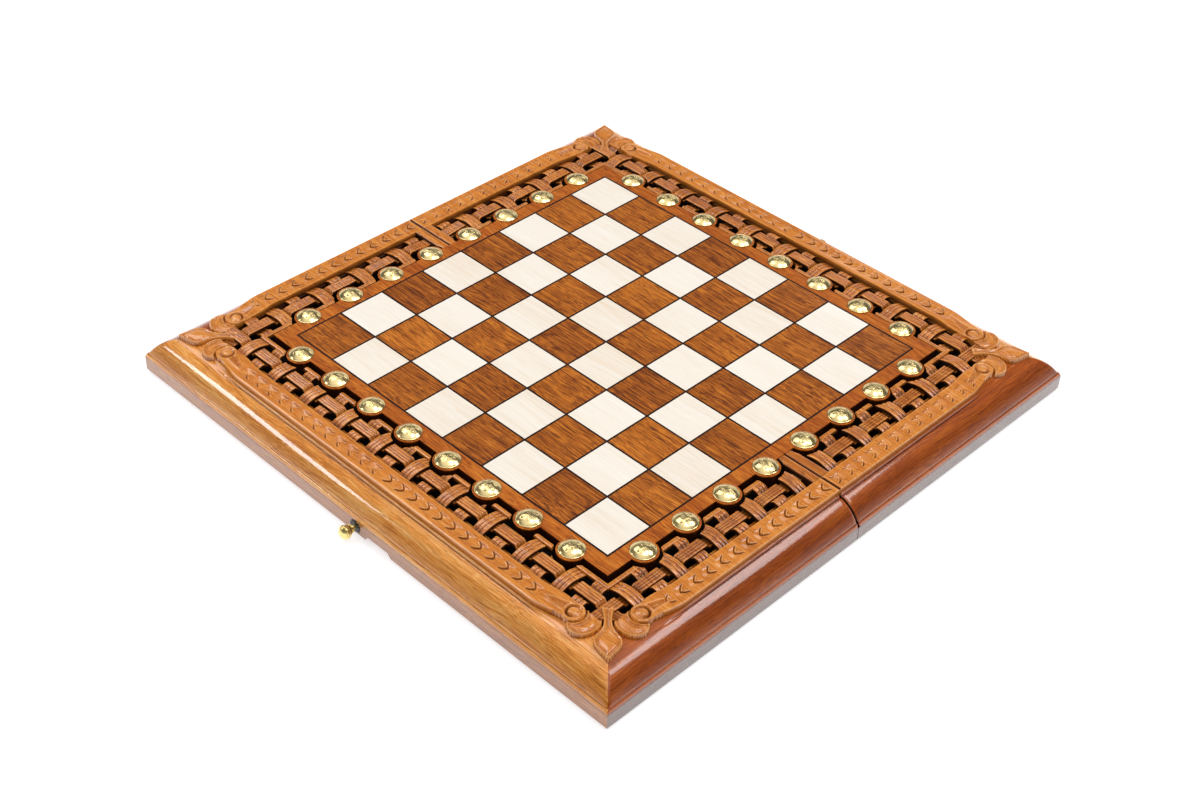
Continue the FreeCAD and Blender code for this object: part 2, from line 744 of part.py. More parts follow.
def studs(half, turn):
    radius, rim, height = size("stud_radius"), size("stud_rim"), size("stud_height")
    top = value(TOP)
    rise = height - rim
    ball = (radius ** 2 + rise ** 2) / (2 * rise)
    lean = math.asin(radius / ball) / 2
    shapes = []
    for place in stud_places():
        foot = Vector(place.x, place.y, top)
        crown = foot + Vector(0, 0, height)
        shoulder = foot + Vector(radius, 0, rim)
        between = crown + Vector(ball * math.sin(lean), 0, ball * (math.cos(lean) - 1))
        edges = [Part.makeLine(foot, foot + Vector(radius, 0, 0)),
                 Part.makeLine(foot + Vector(radius, 0, 0), shoulder),
                 Part.Arc(shoulder, between, crown).toShape(), Part.makeLine(crown, foot)]
        profile = Part.Face(Part.Wire(edges))
        shapes.append(profile.revolve(foot, Vector(0, 0, 1), 360))
    name = half + "_studs"
    keep(name, solids(name, shapes), turn)


def inside_field(half, turn):
    # Long points of the inside field, let flush into a thin lining. Their feet stand
    # on the left and right walls, and they alternate dark and light.
    side = value(WALL)
    near, far = -value(RAIL), -value(WALL)
    pitch = (near - far) / POINTS_PER_SIDE
    low, high = size("tray_depth"), value(UNDERSIDE)
    outer = [Vector(-side, far, low), Vector(side, far, low),
             Vector(side, near, low), Vector(-side, near, low)]
    wires = [Part.makePolygon(outer + outer[:1])]
    up = Vector(0, 0, high - low)
    points = {"light": [], "dark": []}
    for sign in (-1, 1):
        for index in range(POINTS_PER_SIDE):
            start = near - index * pitch
            foot = sign * (side - size("seat_gap"))
            tip = sign * (side - size("point_length"))
            corners = [Vector(foot, start - size("seat_gap"), low),
                       Vector(foot, start - pitch + size("seat_gap"), low),
                       Vector(tip, start - pitch / 2, low)]
            wires.append(Part.makePolygon(corners + corners[:1]))
            kind = "dark" if (index + (sign > 0)) % 2 else "light"
            points[kind].append(prism(corners, up))
    lining = Part.makeFace(wires, "Part::FaceMakerBullseye").extrude(up)
    name = half + "_point_lining"
    keep(name, solids(name, [lining]), turn)
    for kind, shapes in points.items():
        name = "%s_%s_points" % (half, kind)
        keep(name, solids(name, shapes), turn)


def hinge_leaves(half, turn):
    # Each hinge has five knuckles. The near leaf has the outer two and the middle one.
    radius, drop = size("knuckle_radius"), size("axis_drop")
    plate, slack = size("leaf_plate"), size("hinge_slack")
    length, gap = size("hinge_length"), size("knuckle_gap")
    pitch = length / 5
    mine = (0, 2, 4) if half == "near" else (1, 3)
    bore = size("pin_radius") + size("pin_slack")
    shapes = []
    for sign in (-1, 1):
        start = sign * size("hinge_offset") - length / 2
        leaf = block(start, start + length, -size("leaf_width"), -(radius + slack), 0, plate)
        for index in mine:
            left = start + index * pitch + gap / 2
            right = left + pitch - gap
            arm = block(left, right, -(radius + slack), 0, 0, plate)
            barrel = Part.makeCylinder(radius, right - left, Vector(left, 0, -drop),
                                       Vector(1, 0, 0))
            leaf = leaf.fuse(arm).fuse(barrel)
        hole = Part.makeCylinder(bore, length + 2 * size("overrun"),
                                 Vector(start - size("overrun"), 0, -drop), Vector(1, 0, 0))
        leaf = leaf.cut(hole)
        for way in (-1, 1):
            centre = sign * size("hinge_offset") + way * size("screw_spacing") / 2
            foot = Vector(centre, -value(SCREW_LINE), -size("overrun"))
            clear = size("screw_head") + size("screw_slack")
            leaf = leaf.cut(Part.makeCylinder(clear, 2 * size("overrun"), foot))
        shapes.append(leaf.removeSplitter())
    name = half + "_hinge_leaves"
    keep(name, solids(name, shapes), turn)


def hinge_screws(half, turn):
    head, shank = size("screw_head"), size("screw_radius")
    plate, length = size("leaf_plate"), size("screw_length")
    shapes = []
    for sign in (-1, 1):
        for way in (-1, 1):
            centre = sign * size("hinge_offset") + way * size("screw_spacing") / 2
            foot = Vector(centre, -value(SCREW_LINE), 0)
            cap = Part.makeCylinder(head, plate, foot)
            stem = Part.makeCone(shank, shank / 2, length - plate, foot + Vector(0, 0, plate))
            shapes.append(cap.fuse(stem))
    name = half + "_hinge_screws"
    keep(name, solids(name, shapes), turn)


def hinge_pins():
    length = size("hinge_length")
    shapes = []
    for sign in (-1, 1):
        start = sign * size("hinge_offset") - length / 2
        shapes.append(Part.makeCylinder(size("pin_radius"), length,
                                        Vector(start, 0, -size("axis_drop")), Vector(1, 0, 0)))
    keep("hinge_pins", solids("hinge_pins", shapes), 0)


# A turned knob from its collar to its end: distance along, distance out.
KNOB_SHARES = [(0.0, 0.55), (0.12, 0.72), (0.42, 1.0), (0.66, 0.94), (0.86, 0.62), (1.0, 0.0)]


def latch_post(name, half, turn):
    # Screw, stem and knob in one turned piece, made upright and laid down outwards.
    stem, depth = "Sizes.post_radius", "Sizes.post_depth"
    body = new_body(name)
    sketch = attach(body, name + "_profile", "XY_Plane", None)
    corners = [(ZERO, "-1 * " + depth), (stem, "-1 * " + depth),
               (stem, "Sizes.post_length")]
    for along, out in KNOB_SHARES:
        corners.append(("%s * Sizes.knob_radius" % out,
                        "Sizes.post_length + %s * Sizes.knob_length" % along))
    draw_outline(sketch, corners)
    feature = body.newObject("PartDesign::Revolution", name + "_turning")
    feature.Profile = sketch
    feature.ReferenceAxis = (sketch, ["V_Axis"])
    feature.Angle = 360.0
    body.Tip = feature
    doc.recompute()
    lay_at_latch(name, body, half, turn)


def lay_at_latch(name, body, half, turn):
    # The piece was drawn with its outward side along +Y; it goes on the end wall.
    across = value(latch_place(half)) * (1 if turn == 0 else -1)
    out = value(OUTSIDE) * (-1 if turn == 0 else 1)
    body.Label = name
    spin = Rotation(Vector(0, 0, 1), 180 if turn == 0 else 0)
    body.Placement = Placement(Vector(across, out, value(RIM) + size("latch_height")), spin)
    nodes[name] = body


PETALS = 8


def rosette(name, half, turn):
    # A thin round plate with a scalloped edge, and a hole for the post.
    radius, thick = size("rosette_radius"), size("rosette_thickness")
    petal = radius * math.sin(math.pi / PETALS)
    ring = radius * math.cos(math.pi / PETALS)
    facing = Vector(0, 1, 0)
    plate = Part.makeCylinder(ring, thick, Vector(0, 0, 0), facing)
    petals = []
    for index in range(PETALS):
        angle = 2 * math.pi * index / PETALS
        centre = Vector((ring - petal / 2) * math.cos(angle), 0,
                        (ring - petal / 2) * math.sin(angle))
        petals.append(Part.makeCylinder(petal, thick, centre, facing))
    plate = plate.multiFuse(petals)
    hole = Part.makeCylinder(size("post_radius") + size("screw_slack"), thick,
                             Vector(0, 0, 0), facing)
    feature = solids(name, [plate.cut(hole)])
    lay_at_latch(name, feature, half, turn)


def hook():
    # A flat hook on the far post. It lies along the wall at rest, and its throat is
    # open on the lower side, so that it swings down over the near post when the
    # board is closed and turned over.
    reach = 2 * (size("latch_height") + size("axis_drop"))
    throat = size("post_radius") + size("hook_slack")
    half_width = size("hook_width") / 2
    thick = size("hook_thickness")
    lip = reach + throat + size("hook_lip")
    tail = lip + size("hook_tail")
    facing = Vector(0, 1, 0)
    eye = Part.makeCylinder(size("hook_eye_radius"), thick, Vector(0, 0, 0), facing)
    shank = block(0, lip, 0, thick, -half_width, half_width + throat)
    trim = block(size("hook_eye_radius"), reach - throat - half_width, 0, thick,
                 half_width, half_width + throat + size("overrun"))
    body = eye.fuse(shank.cut(trim))
    slot = block(reach - throat, reach + throat, 0, thick, -half_width - size("overrun"), 0)
    slot = slot.fuse(Part.makeCylinder(throat, thick, Vector(reach, 0, 0), facing))
    body = body.cut(slot)
    start = lip - half_width
    stem = block(start, tail - half_width, 0, thick, half_width + throat - size("hook_width") / 2,
                 half_width + throat)
    end = Part.makeCylinder(half_width, thick,
                            Vector(tail - half_width, 0, throat + half_width / 2), facing)
    body = body.fuse(stem).fuse(end)
    hole = Part.makeCylinder(throat, thick, Vector(0, 0, 0), facing)
    body = body.cut(hole).removeSplitter()
    feature = solids("hook", [body])
    feature.Label = "hook"
    out = value(OUTSIDE) + size("rosette_thickness") + size("hook_stand_off")
    feature.Placement = Placement(
        Vector(size("latch_offset"), out, value(RIM) + size("latch_height")), Rotation())
    nodes["hook"] = feature


for half, turn in (("near", 0), ("far", 180)):
    frame_walls(half, turn)
    fold_rail(half, turn)
    base_panel(half, turn)
    field_plate(half, turn)
    squares(half, turn)
    string_inlay(half, turn)
    laurel_bands(half, turn)
    corner_carvings(half, turn)
    long_strips(half, turn)
    cross_strips(half, turn)
    studs(half, turn)
    inside_field(half, turn)
    hinge_leaves(half, turn)
    hinge_screws(half, turn)
hinge_pins()
rosette("catch_rosette", "near", 0)
latch_post("catch_post", "near", 0)
rosette("hook_rosette", "far", 180)
latch_post("hook_post", "far", 180)
hook()

doc.recompute()
for thing in doc.Objects:
    if "Invalid" in thing.State or "Error" in thing.State:
        raise ValueError("%s failed: %s" % (thing.Name, thing.State))
for name, thing in nodes.items():
    if thing.Shape.isNull() or not thing.Shape.isValid():
        raise ValueError("%s has no sound shape" % name)
os.makedirs("parts", exist_ok=True)
for name, thing in nodes.items():
    thing.Shape.exportStep("parts/%s.step" % name)
    box = thing.Shape.BoundBox
    print("%-28s %6.1f %6.1f  %6.1f %6.1f  %5.1f %5.1f  %d" % (
        name, box.XMin, box.XMax, box.YMin, box.YMax, box.ZMin, box.ZMax,
        len(thing.Shape.Solids)))
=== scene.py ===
"""Looks of a folding board for chess and backgammon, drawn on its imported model."""

import math

import bpy
import numpy as np
from mathutils import Matrix, Vector


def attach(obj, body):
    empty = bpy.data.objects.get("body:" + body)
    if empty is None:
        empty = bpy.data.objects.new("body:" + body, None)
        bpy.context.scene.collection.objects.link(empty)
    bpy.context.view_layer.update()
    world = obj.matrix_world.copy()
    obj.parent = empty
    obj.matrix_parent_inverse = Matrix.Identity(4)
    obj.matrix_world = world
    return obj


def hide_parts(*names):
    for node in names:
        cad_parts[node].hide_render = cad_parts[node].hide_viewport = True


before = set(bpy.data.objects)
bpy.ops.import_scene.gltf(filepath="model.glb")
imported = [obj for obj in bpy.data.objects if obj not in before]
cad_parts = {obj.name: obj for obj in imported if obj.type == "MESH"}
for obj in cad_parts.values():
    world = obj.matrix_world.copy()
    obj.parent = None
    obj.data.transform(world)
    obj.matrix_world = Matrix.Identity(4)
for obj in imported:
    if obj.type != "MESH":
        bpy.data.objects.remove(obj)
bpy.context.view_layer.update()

# Lengths are millimetres in the board's own frame, and meshes are made in metres.
# Distances run outwards from the board's middle, heights up from the table.
MM = 0.001
SQUARE = 41.5
FOLD_GAP = 0.3  # between the fold line and each half
LATTICE_START = 8.8  # beside the fold

PLATE = 179.0  # edge of the plate, where the studs stand
RING = 13.4  # radius of the round groove about a boss
STUD_RADIUS = 9.5
INNER_FIRST = 182.7  # narrow line beside the plate's groove
INNER_LAST = 186.2
LONG_MIDDLE = 198.0
LONG_LINE = 199.5  # where the strips of two sides cross
MOAT = 210.0  # where the moulding's shelf begins
BAND = 229.0
CORNER_START = 176.0
SCROLL = (186.0, 217.6)

WALL_TOP = 13.7
FLOOR = 24.2
GROUND = 32.2
BAND_TOP = 37.2
PLATE_TOP = 37.7

SIDES = ("end", "left", "right")
UP = (0, 0, 1)


def smooth(share):
    """Eases from 0 to 1 as the share does."""
    share = np.clip(share, 0.0, 1.0)
    return share * share * (3.0 - 2.0 * share)


def bump(distance, width):
    """A rounded ridge of that width about distance 0."""
    return np.exp(-(distance / width) ** 2)


def eased(places, knots):
    """Heights at places, easing from one (place, height) knot to the next."""
    heights = np.full(places.shape, knots[0][1])
    for (start, low), (end, high) in zip(knots[:-1], knots[1:]):
        heights = heights + (high - low) * smooth((places - start) / (end - start))
    return heights


def repeated(row, count):
    """The same row of values, count times over."""
    return np.repeat(row[None, :], count, 0)


# Meshes from sheets of points

class Shell:
    """Gathers sheets of points into one mesh of a half. They are given as in the near
    half, and the far half turns them half round."""

    def __init__(self, half):
        self.half = half
        self.points, self.wear, self.faces = [], [], []
        self.count = 0

    def sheet(self, points, wear=0.0, around=False, out=UP, drop=None):
        """Adds rows x columns points joined into four-sided faces. Around closes each
        row on itself, out is the side that the faces look to, or None for away from
        their middle, and a face whose corners are all marked by drop is left out."""
        rows, columns = points.shape[:2]
        ids = np.arange(rows * columns).reshape(rows, columns)
        if around:
            ids = np.hstack([ids, ids[:, :1]])
        quads = np.stack([ids[:-1, :-1], ids[1:, :-1], ids[1:, 1:], ids[:-1, 1:]], -1)
        quads = quads.reshape(-1, 4)
        flat = points.reshape(-1, 3)
        if drop is not None:
            quads = quads[~drop.reshape(-1)[quads].all(1)]
        spots = flat[quads]
        normals = np.cross(spots[:, 2] - spots[:, 0], spots[:, 3] - spots[:, 1])
        if out is None:
            away = (normals * (spots.mean(1) - flat.mean(0))).sum()
        else:
            away = normals.sum(0) @ np.asarray(out, float)
        if away < 0:
            quads = quads[:, ::-1]
        self.faces.extend((quads + self.count).tolist())
        self.keep(flat, np.broadcast_to(wear, points.shape[:2]).reshape(-1))

    def cap(self, points):
        """Closes a section at the fold with one many-sided face."""
        normal = np.cross(points, np.roll(points, -1, 0)).sum(0)
        ids = list(range(self.count, self.count + len(points)))
        self.faces.append(ids if normal[1] > 0 else ids[::-1])
        # The end face is a little darker, painted shade as in the gap at the fold.
        self.keep(points, np.full(len(points), -0.3))

    def keep(self, points, wear):
        self.points.append(points)
        self.wear.append(wear)
        self.count += len(points)

    def build(self, name, slot, material, node, angle=32):
        """Makes the mesh, smooth but for edges over that angle, in place of a node."""
        points = np.concatenate(self.points) * MM
        if self.half == "far":
            points = points * (-1.0, -1.0, 1.0)
        mesh = bpy.data.meshes.new(name)
        mesh.from_pydata(points.tolist(), [], self.faces)
        # Besides real rubbing, this attribute carries painted shade in hollows and low places
        # and painted highlights on edges and rims.
        layer = mesh.attributes.new("wear", "FLOAT", "POINT")
        layer.data.foreach_set("value", np.concatenate(self.wear).astype(np.float32))
        mesh.materials.append(material)
        mesh.shade_smooth()
        mesh.set_sharp_from_angle(angle=math.radians(angle))
        mesh.validate()
        piece = bpy.data.objects.new(name, mesh)
        bpy.context.scene.collection.objects.link(piece)
        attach(piece, self.half + "_half")
        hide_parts(node)


def placed(along, across, height, side):
    """Points of one side from their place along it, their distance from the middle
    of the board and their height. Sides are end, left and right of the near half."""
    along, across, height = np.broadcast_arrays(along, across, height)
    if side == "end":
        return np.stack([along, -across, height], -1)
    sign = 1.0 if side == "right" else -1.0
    return np.stack([sign * across, -along, height], -1)


# Materials

def new_material(name):
    """A material without nodes, and its tree."""
    material = bpy.data.materials.new(name)
    material.use_nodes = True
    material.node_tree.nodes.clear()
    return material, material.node_tree


def add(tree, kind, inputs=None, **settings):
    """A shader node with its settings, and inputs that are sockets or plain values."""
    node = tree.nodes.new("ShaderNode" + kind)
    for key, value in settings.items():
        setattr(node, key, value)
    for key, value in (inputs or {}).items():
        if isinstance(value, bpy.types.NodeSocket):
            tree.links.new(value, node.inputs[key])
        else:
            node.inputs[key].default_value = value
    return node


def math_node(tree, operation, first, second=0.0, third=0.0, clamp=False):
    return add(tree, "Math", {0: first, 1: second, 2: third},
               operation=operation, use_clamp=clamp).outputs[0]


def mul_add(tree, value, factor, rest):
    return math_node(tree, "MULTIPLY_ADD", value, factor, rest)


def vector_math(tree, operation, first, second=(0.0, 0.0, 0.0)):
    """Arithmetic with vectors, where SCALE takes a plain factor."""
    second_input = "Scale" if operation == "SCALE" else 1
    return add(tree, "VectorMath", {0: first, second_input: second},
               operation=operation).outputs[0]


def remap(tree, value, low, high, to_low, to_high):
    node = add(tree, "MapRange", {
        "Value": value, "From Min": low, "From Max": high,
        "To Min": to_low, "To Max": to_high})
    return node.outputs["Result"]


def ramp(tree, value, stops):
    node = add(tree, "ValToRGB", {"Fac": value})
    elements = node.color_ramp.elements
    while len(elements) < len(stops):
        elements.new(0.5)
    for element, (place, colour) in zip(elements, stops):
        element.position = place
        element.color = (*colour, 1.0)
    return node.outputs["Color"]


def blend(tree, share, first, second):
    """From the first colour, a socket or plain values, to the second, plain values."""
    if not isinstance(first, bpy.types.NodeSocket):
        first = (*first, 1.0)
    node = add(tree, "Mix", {0: share, 6: first, 7: (*second, 1.0)},
               data_type="RGBA")
    return node.outputs[2]


def linear(*levels):
    """A colour from its levels on screen, 0 to 255."""
    shares = [level / 255 for level in levels]
    return tuple(s / 12.92 if s <= 0.04045 else ((s + 0.055) / 1.055) ** 2.4 for s in shares)


def scaled(colour, factor):
    return tuple(min(1.0, c * factor) for c in colour)


def stretched(tree, coordinates, along, across):
    return add(tree, "Mapping", {
        "Vector": coordinates, "Scale": (along, across, across)}).outputs["Vector"]


def noise(tree, vector, scale, detail=3.0, roughness=0.55, distortion=0.0, output="Fac"):
    node = add(tree, "TexNoise", {
        "Vector": vector, "Scale": scale, "Detail": detail, "Roughness": roughness,
        "Distortion": distortion})
    return node.outputs[output]


def bumped(tree, height, strength, distance):
    return add(tree, "Bump", {
        "Height": height, "Strength": strength, "Distance": distance}).outputs["Normal"]


def wear_of(tree):
    """Wear and painted light of the surface, from -1 for painted shade deep in a hollow to 1
    for a rubbed edge with a painted highlight.
    """
    return add(tree, "Attribute", attribute_name="wear").outputs["Fac"]


def own_cut(tree, place, board):
    """Moves the wood of every square by chance. Gives the place in the plank, and the
    tone of the square from 0 to 1."""
    cell = vector_math(tree, "SCALE", place, 1 / (SQUARE * MM))
    cell = vector_math(tree, "FLOOR", cell)
    flat = vector_math(tree, "MULTIPLY", cell, (1.0, 1.0, 0.0))
    chance = add(tree, "TexWhiteNoise", {"Vector": flat}).outputs
    jump = vector_math(tree, "SCALE", chance["Color"], 3.0)
    return vector_math(tree, "ADD", board, jump), chance["Value"]


def wood_grain(tree, board, streak, fine, broad, figure):
    """Grain about 0.5 from streaks, broad bands, hair lines and figure. Gives the hair
    lines and the pores as well."""
    bend = noise(tree, stretched(tree, board, 1.0, 2.2), 6.0, output="Color")
    bend = vector_math(tree, "SUBTRACT", bend, (0.5, 0.5, 0.5))
    bent = vector_math(tree, "ADD", board, vector_math(tree, "SCALE", bend, 0.022))
    streaks = noise(tree, stretched(tree, bent, 0.024, 1.0), streak, 4.0, 0.62, 0.2)
    wide = noise(tree, stretched(tree, bent, 0.1, 1.0), streak * 0.11)
    hair = noise(tree, stretched(tree, bent, 0.02, 1.0), streak * 2.6, 3.0, 0.65)
    pore = noise(tree, stretched(tree, bent, 0.06, 1.0), streak * 1.7, 2.0, 0.5)
    mixed = mul_add(tree, streaks, 1.0 - broad, math_node(tree, "MULTIPLY", wide, broad))
    mixed = mul_add(tree, math_node(tree, "SUBTRACT", hair, 0.5), fine, mixed)
    if figure:
        curl = noise(tree, stretched(tree, board, 1.0, 0.35), 110.0, 2.0, 0.5, 0.6)
        mixed = mul_add(tree, math_node(tree, "SUBTRACT", curl, 0.5), figure, mixed)
    return mixed, hair, pore


def groove_shade(tree, place, deep):
    """Shade below that height in metres, on the plate's edge and beyond it."""
    spot = add(tree, "SeparateXYZ", {0: place}).outputs
    reach = math_node(tree, "MAXIMUM", math_node(tree, "ABSOLUTE", spot["X"]),
                      math_node(tree, "ABSOLUTE", spot["Y"]))
    rim = math_node(tree, "GREATER_THAN", reach, (PLATE - 0.4) * MM)
    share = remap(tree, spot["Z"], deep, deep - 0.0007, 0.0, 0.96)
    return math_node(tree, "MULTIPLY", share, rim)


def wood(name, dark, middle, light, along="x", streak=600.0, contrast=1.0, fine=0.5,
         broad=0.45, pores=0.6, figure=0.0, shift=(0.0, 0.0, 0.0), tiles=False,
         roughness=0.42, relief=0.15, coat=1.0, coat_rough=0.07, coat_ior=1.6,
         hollow_stain_and_shade=None, worn=None, deep=None):
    """Polished wood with grain along x or y, in colours given as levels on screen.
    Shift picks the part of the plank, and tiles give every square its own cut. The hollow
    colour is stain and painted shade in hollows and low places, the worn colour is rubbed
    edges and painted edge highlights, and below the height deep, in metres, a groove at the
    plate's edge gets painted shade, near black."""
    material, tree = new_material(name)
    dark, middle, light = linear(*dark), linear(*middle), linear(*light)
    hollow_stain_and_shade = linear(*hollow_stain_and_shade) if hollow_stain_and_shade else scaled(dark, 0.1)
    worn = linear(*worn) if worn else scaled(light, 1.3)
    place = add(tree, "TexCoord").outputs["Object"]
    turn = math.pi / 2 if along == "y" else 0.0
    board = add(tree, "Mapping", {
        "Vector": place, "Location": shift, "Rotation": (0.0, 0.0, turn)}).outputs["Vector"]
    if tiles:
        board, tone = own_cut(tree, place, board)
    mixed, hair, pore = wood_grain(tree, board, streak, fine, broad, figure)
    mixed = remap(tree, mixed, 0.5 - 0.2 / contrast, 0.5 + 0.2 / contrast, 0.0, 1.0)
    if tiles:
        mixed = math_node(tree, "ADD", mixed,
                          remap(tree, tone, 0.0, 1.0, -0.15, 0.15), clamp=True)
    colour = ramp(tree, mixed, [(0.0, dark), (0.5, middle), (1.0, light)])
    pore = remap(tree, pore, 0.55, 0.63, 0.0, pores)
    colour = blend(tree, pore, colour, scaled(dark, 0.42))
    # Below 0 the attribute paints shade, with some stain, towards the hollow colour and thins
    # the coat; above 0 it paints rubbed edges and edge highlights towards the worn colour.
    wear = wear_of(tree)
    colour = blend(tree, remap(tree, wear, 0.0, -1.0, 0.0, 0.95), colour, hollow_stain_and_shade)
    colour = blend(tree, remap(tree, wear, 0.0, 1.0, 0.0, 0.5), colour, worn)
    # Painted shade on the plate's groove walls below the height deep.
    if deep is not None:
        colour = blend(tree, groove_shade(tree, place, deep), colour, scaled(dark, 0.06))
    smear = noise(tree, place, 55.0)
    rough = remap(tree, smear, 0.3, 0.7, roughness - 0.05, roughness + 0.07)
    rough = mul_add(tree, pore, 0.2, rough)
    height = math_node(tree, "SUBTRACT", math_node(tree, "MULTIPLY", hair, 0.5), pore)
    ripple = noise(tree, place, 190.0, 2.0)
    film = mul_add(tree, hair, 0.2, ripple)
    shader = add(tree, "BsdfPrincipled", {
        "Base Color": colour, "Roughness": rough, "Specular IOR Level": 0.12,
        "Normal": bumped(tree, height, relief, 0.0003),
        "Coat Weight": remap(tree, wear, 0.0, -1.0, coat, coat * 0.1),
        "Coat Roughness": coat_rough, "Coat IOR": coat_ior,
        "Coat Normal": bumped(tree, film, 0.08, 0.0004)})
    add(tree, "OutputMaterial", {"Surface": shader.outputs["BSDF"]})
    return material


def metal(name, colour, stain, roughness, worn=0.5, grain=260.0, metallic=1.0):
    """Polished metal or lacquer with fine scratches, turned towards its stain colour in
    random dull patches and where the mesh marks it: patina in engraved lines and grooves,
    painted shadow at a stud's foot, and a grey painted highlight on the rosette's rim and
    flutes.
    """
    material, tree = new_material(name)
    place = add(tree, "TexCoord").outputs["Object"]
    cloud = noise(tree, place, grain, 4.0, 0.6)
    scratch = noise(tree, stretched(tree, place, 0.25, 1.0), grain * 7, 2.0, 0.5)
    dull = remap(tree, cloud, 0.42, 0.75, 0.0, worn)
    sunk = remap(tree, wear_of(tree), 0.0, -1.0, 0.0, 0.85)
    shade = math_node(tree, "MAXIMUM", dull, sunk, clamp=True)
    rough = mul_add(tree, scratch, 0.14, roughness - 0.05)
    height = mul_add(tree, scratch, 0.5, cloud)
    shader = add(tree, "BsdfPrincipled", {
        "Base Color": blend(tree, shade, linear(*colour), linear(*stain)),
        "Metallic": metallic,
        "Roughness": mul_add(tree, shade, 0.22, rough),
        "Normal": bumped(tree, height, 0.08, 0.0002)})
    add(tree, "OutputMaterial", {"Surface": shader.outputs["BSDF"]})
    return material


# One frame wood in two tones with light and shade painted in: lighter and yellower on the
# end, darker and redder on the sides.
end_wood = wood(
    "frame_wood_end_lit_tone", (166, 86, 18), (232, 149, 60), (252, 198, 120), worn=(246, 176, 88),
    streak=900, contrast=0.95, broad=0.35, pores=0.35, shift=(0.3, 0.1, 0.0))
side_wood = wood(
    "frame_wood_side_shaded_tone", (112, 44, 6), (166, 76, 12), (208, 112, 30), worn=(206, 108, 40),
    along="y", streak=800, contrast=0.8, broad=0.5, pores=0.4, shift=(0.7, 0.4, 0.2),
    coat_rough=0.1)
# One wall wood in two tones: the end walls lighter and the side walls darker, with painted
# shade in the sides' tone.
end_wall_wood = wood(
    "wall_wood_end_lit_tone", (128, 66, 24), (184, 112, 52), (212, 148, 84),
    streak=900, contrast=0.75, pores=0.35, shift=(1.3, 0.2, 0.1))
side_wall_wood = wood(
    "wall_wood_side_shaded_tone", (70, 34, 18), (100, 56, 36), (132, 84, 60),
    along="y", streak=800, contrast=0.8, shift=(0.1, 1.4, 0.3), coat_ior=1.8)
carved_wood = wood(
    "carved_wood_panel", (140, 66, 12), (212, 126, 44), (242, 172, 88), hollow_stain_and_shade=(52, 20, 6),
    streak=900, contrast=0.75, broad=0.35, pores=0.2, shift=(0.2, 0.9, 0.0))
strip_wood = wood(
    "woven_wood_strips", (118, 50, 8), (196, 108, 32), (238, 162, 80), hollow_stain_and_shade=(16, 8, 4),
    streak=800, fine=0.6, shift=(0.5, 0.3, 0.0))
plate_wood = wood(
    "field_wood_border", (118, 46, 6), (184, 94, 20), (220, 134, 44), deep=0.0374,
    streak=900, shift=(0.9, 0.5, 0.0))
pale_wood = wood(
    "maple_squares", (236, 216, 190), (245, 235, 221), (250, 243, 232), tiles=True,
    streak=400, contrast=0.8, fine=0.2, pores=0.04, relief=0.05, coat_rough=0.12)
brown_wood = wood(
    "walnut_squares", (104, 46, 6), (172, 92, 20), (214, 128, 38), tiles=True,
    streak=760, contrast=1.2, fine=0.7, broad=0.25, pores=0.7, figure=0.15,
    coat_rough=0.12)
black_wood = wood("dark_string_lines", (24, 10, 4), (38, 18, 8), (56, 28, 14), pores=0.2)
inside_wood = wood(
    "inside_wood_lining", (150, 94, 46), (202, 142, 84), (228, 176, 118),
    along="y", shift=(2.0, 0.3, 0.0), coat=0.5, coat_rough=0.2)
# A dark backing, made near black so that the weave's voids carry painted shade as well.
panel_wood = wood("dark_panel_board", (8, 5, 3), (14, 9, 6), (24, 15, 9), coat=0.0,
                  roughness=0.7)
stud_brass = metal("stud_brass_polished", (250, 224, 156), (70, 46, 18), 0.17, worn=0.1,
                   grain=120.0, metallic=0.95)
hinge_brass = metal("hinge_brass_satin", (206, 176, 104), (104, 76, 36), 0.3)
latch_brass = metal("latch_brass_polished", (232, 210, 140), (110, 80, 36), 0.24,
                    metallic=0.9)
black_metal = metal("black_lacquer", (22, 20, 20), (58, 54, 50), 0.28, worn=0.3,
                    metallic=0.2)


def dress(node, material):
    """A node that keeps its own mesh takes a finished material."""
    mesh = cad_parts[node].data
    if not mesh.materials:
        mesh.materials.append(material)
    for index in range(len(mesh.materials)):
        mesh.materials[index] = material


for half in ("near", "far"):
    for part, material in (
            ("end_wall", end_wall_wood), ("left_wall", side_wall_wood),
            ("right_wall", side_wall_wood), ("fold_rail", end_wood),
            ("base_panel", panel_wood), ("field_plate", plate_wood),
            ("light_squares", pale_wood), ("dark_squares", brown_wood),
            ("string_inlay", black_wood), ("point_lining", inside_wood),
            ("light_points", pale_wood), ("dark_points", brown_wood),
            ("hinge_leaves", hinge_brass), ("hinge_screws", hinge_brass)):
        dress(half + "_" + part, material)
dress("hinge_pins", hinge_brass)
dress("hook", latch_brass)


# Mouldings

ARC_CENTRE = (224.32, 5.10)
ARC_RADIUS = 27.0
ARC_ENDS = ((232.6, 30.8), (248.2, 17.7))


def arc_points():
    """The moulding's round from beside the quirk to its foot, as distance and height."""
    start, end = (math.atan2(height - ARC_CENTRE[1], distance - ARC_CENTRE[0])
                  for distance, height in ARC_ENDS)
    return [(ARC_CENTRE[0] + ARC_RADIUS * math.cos(angle),
             ARC_CENTRE[1] + ARC_RADIUS * math.sin(angle))
            for angle in np.linspace(start, end, ROUND_TO - ROUND_FROM)]


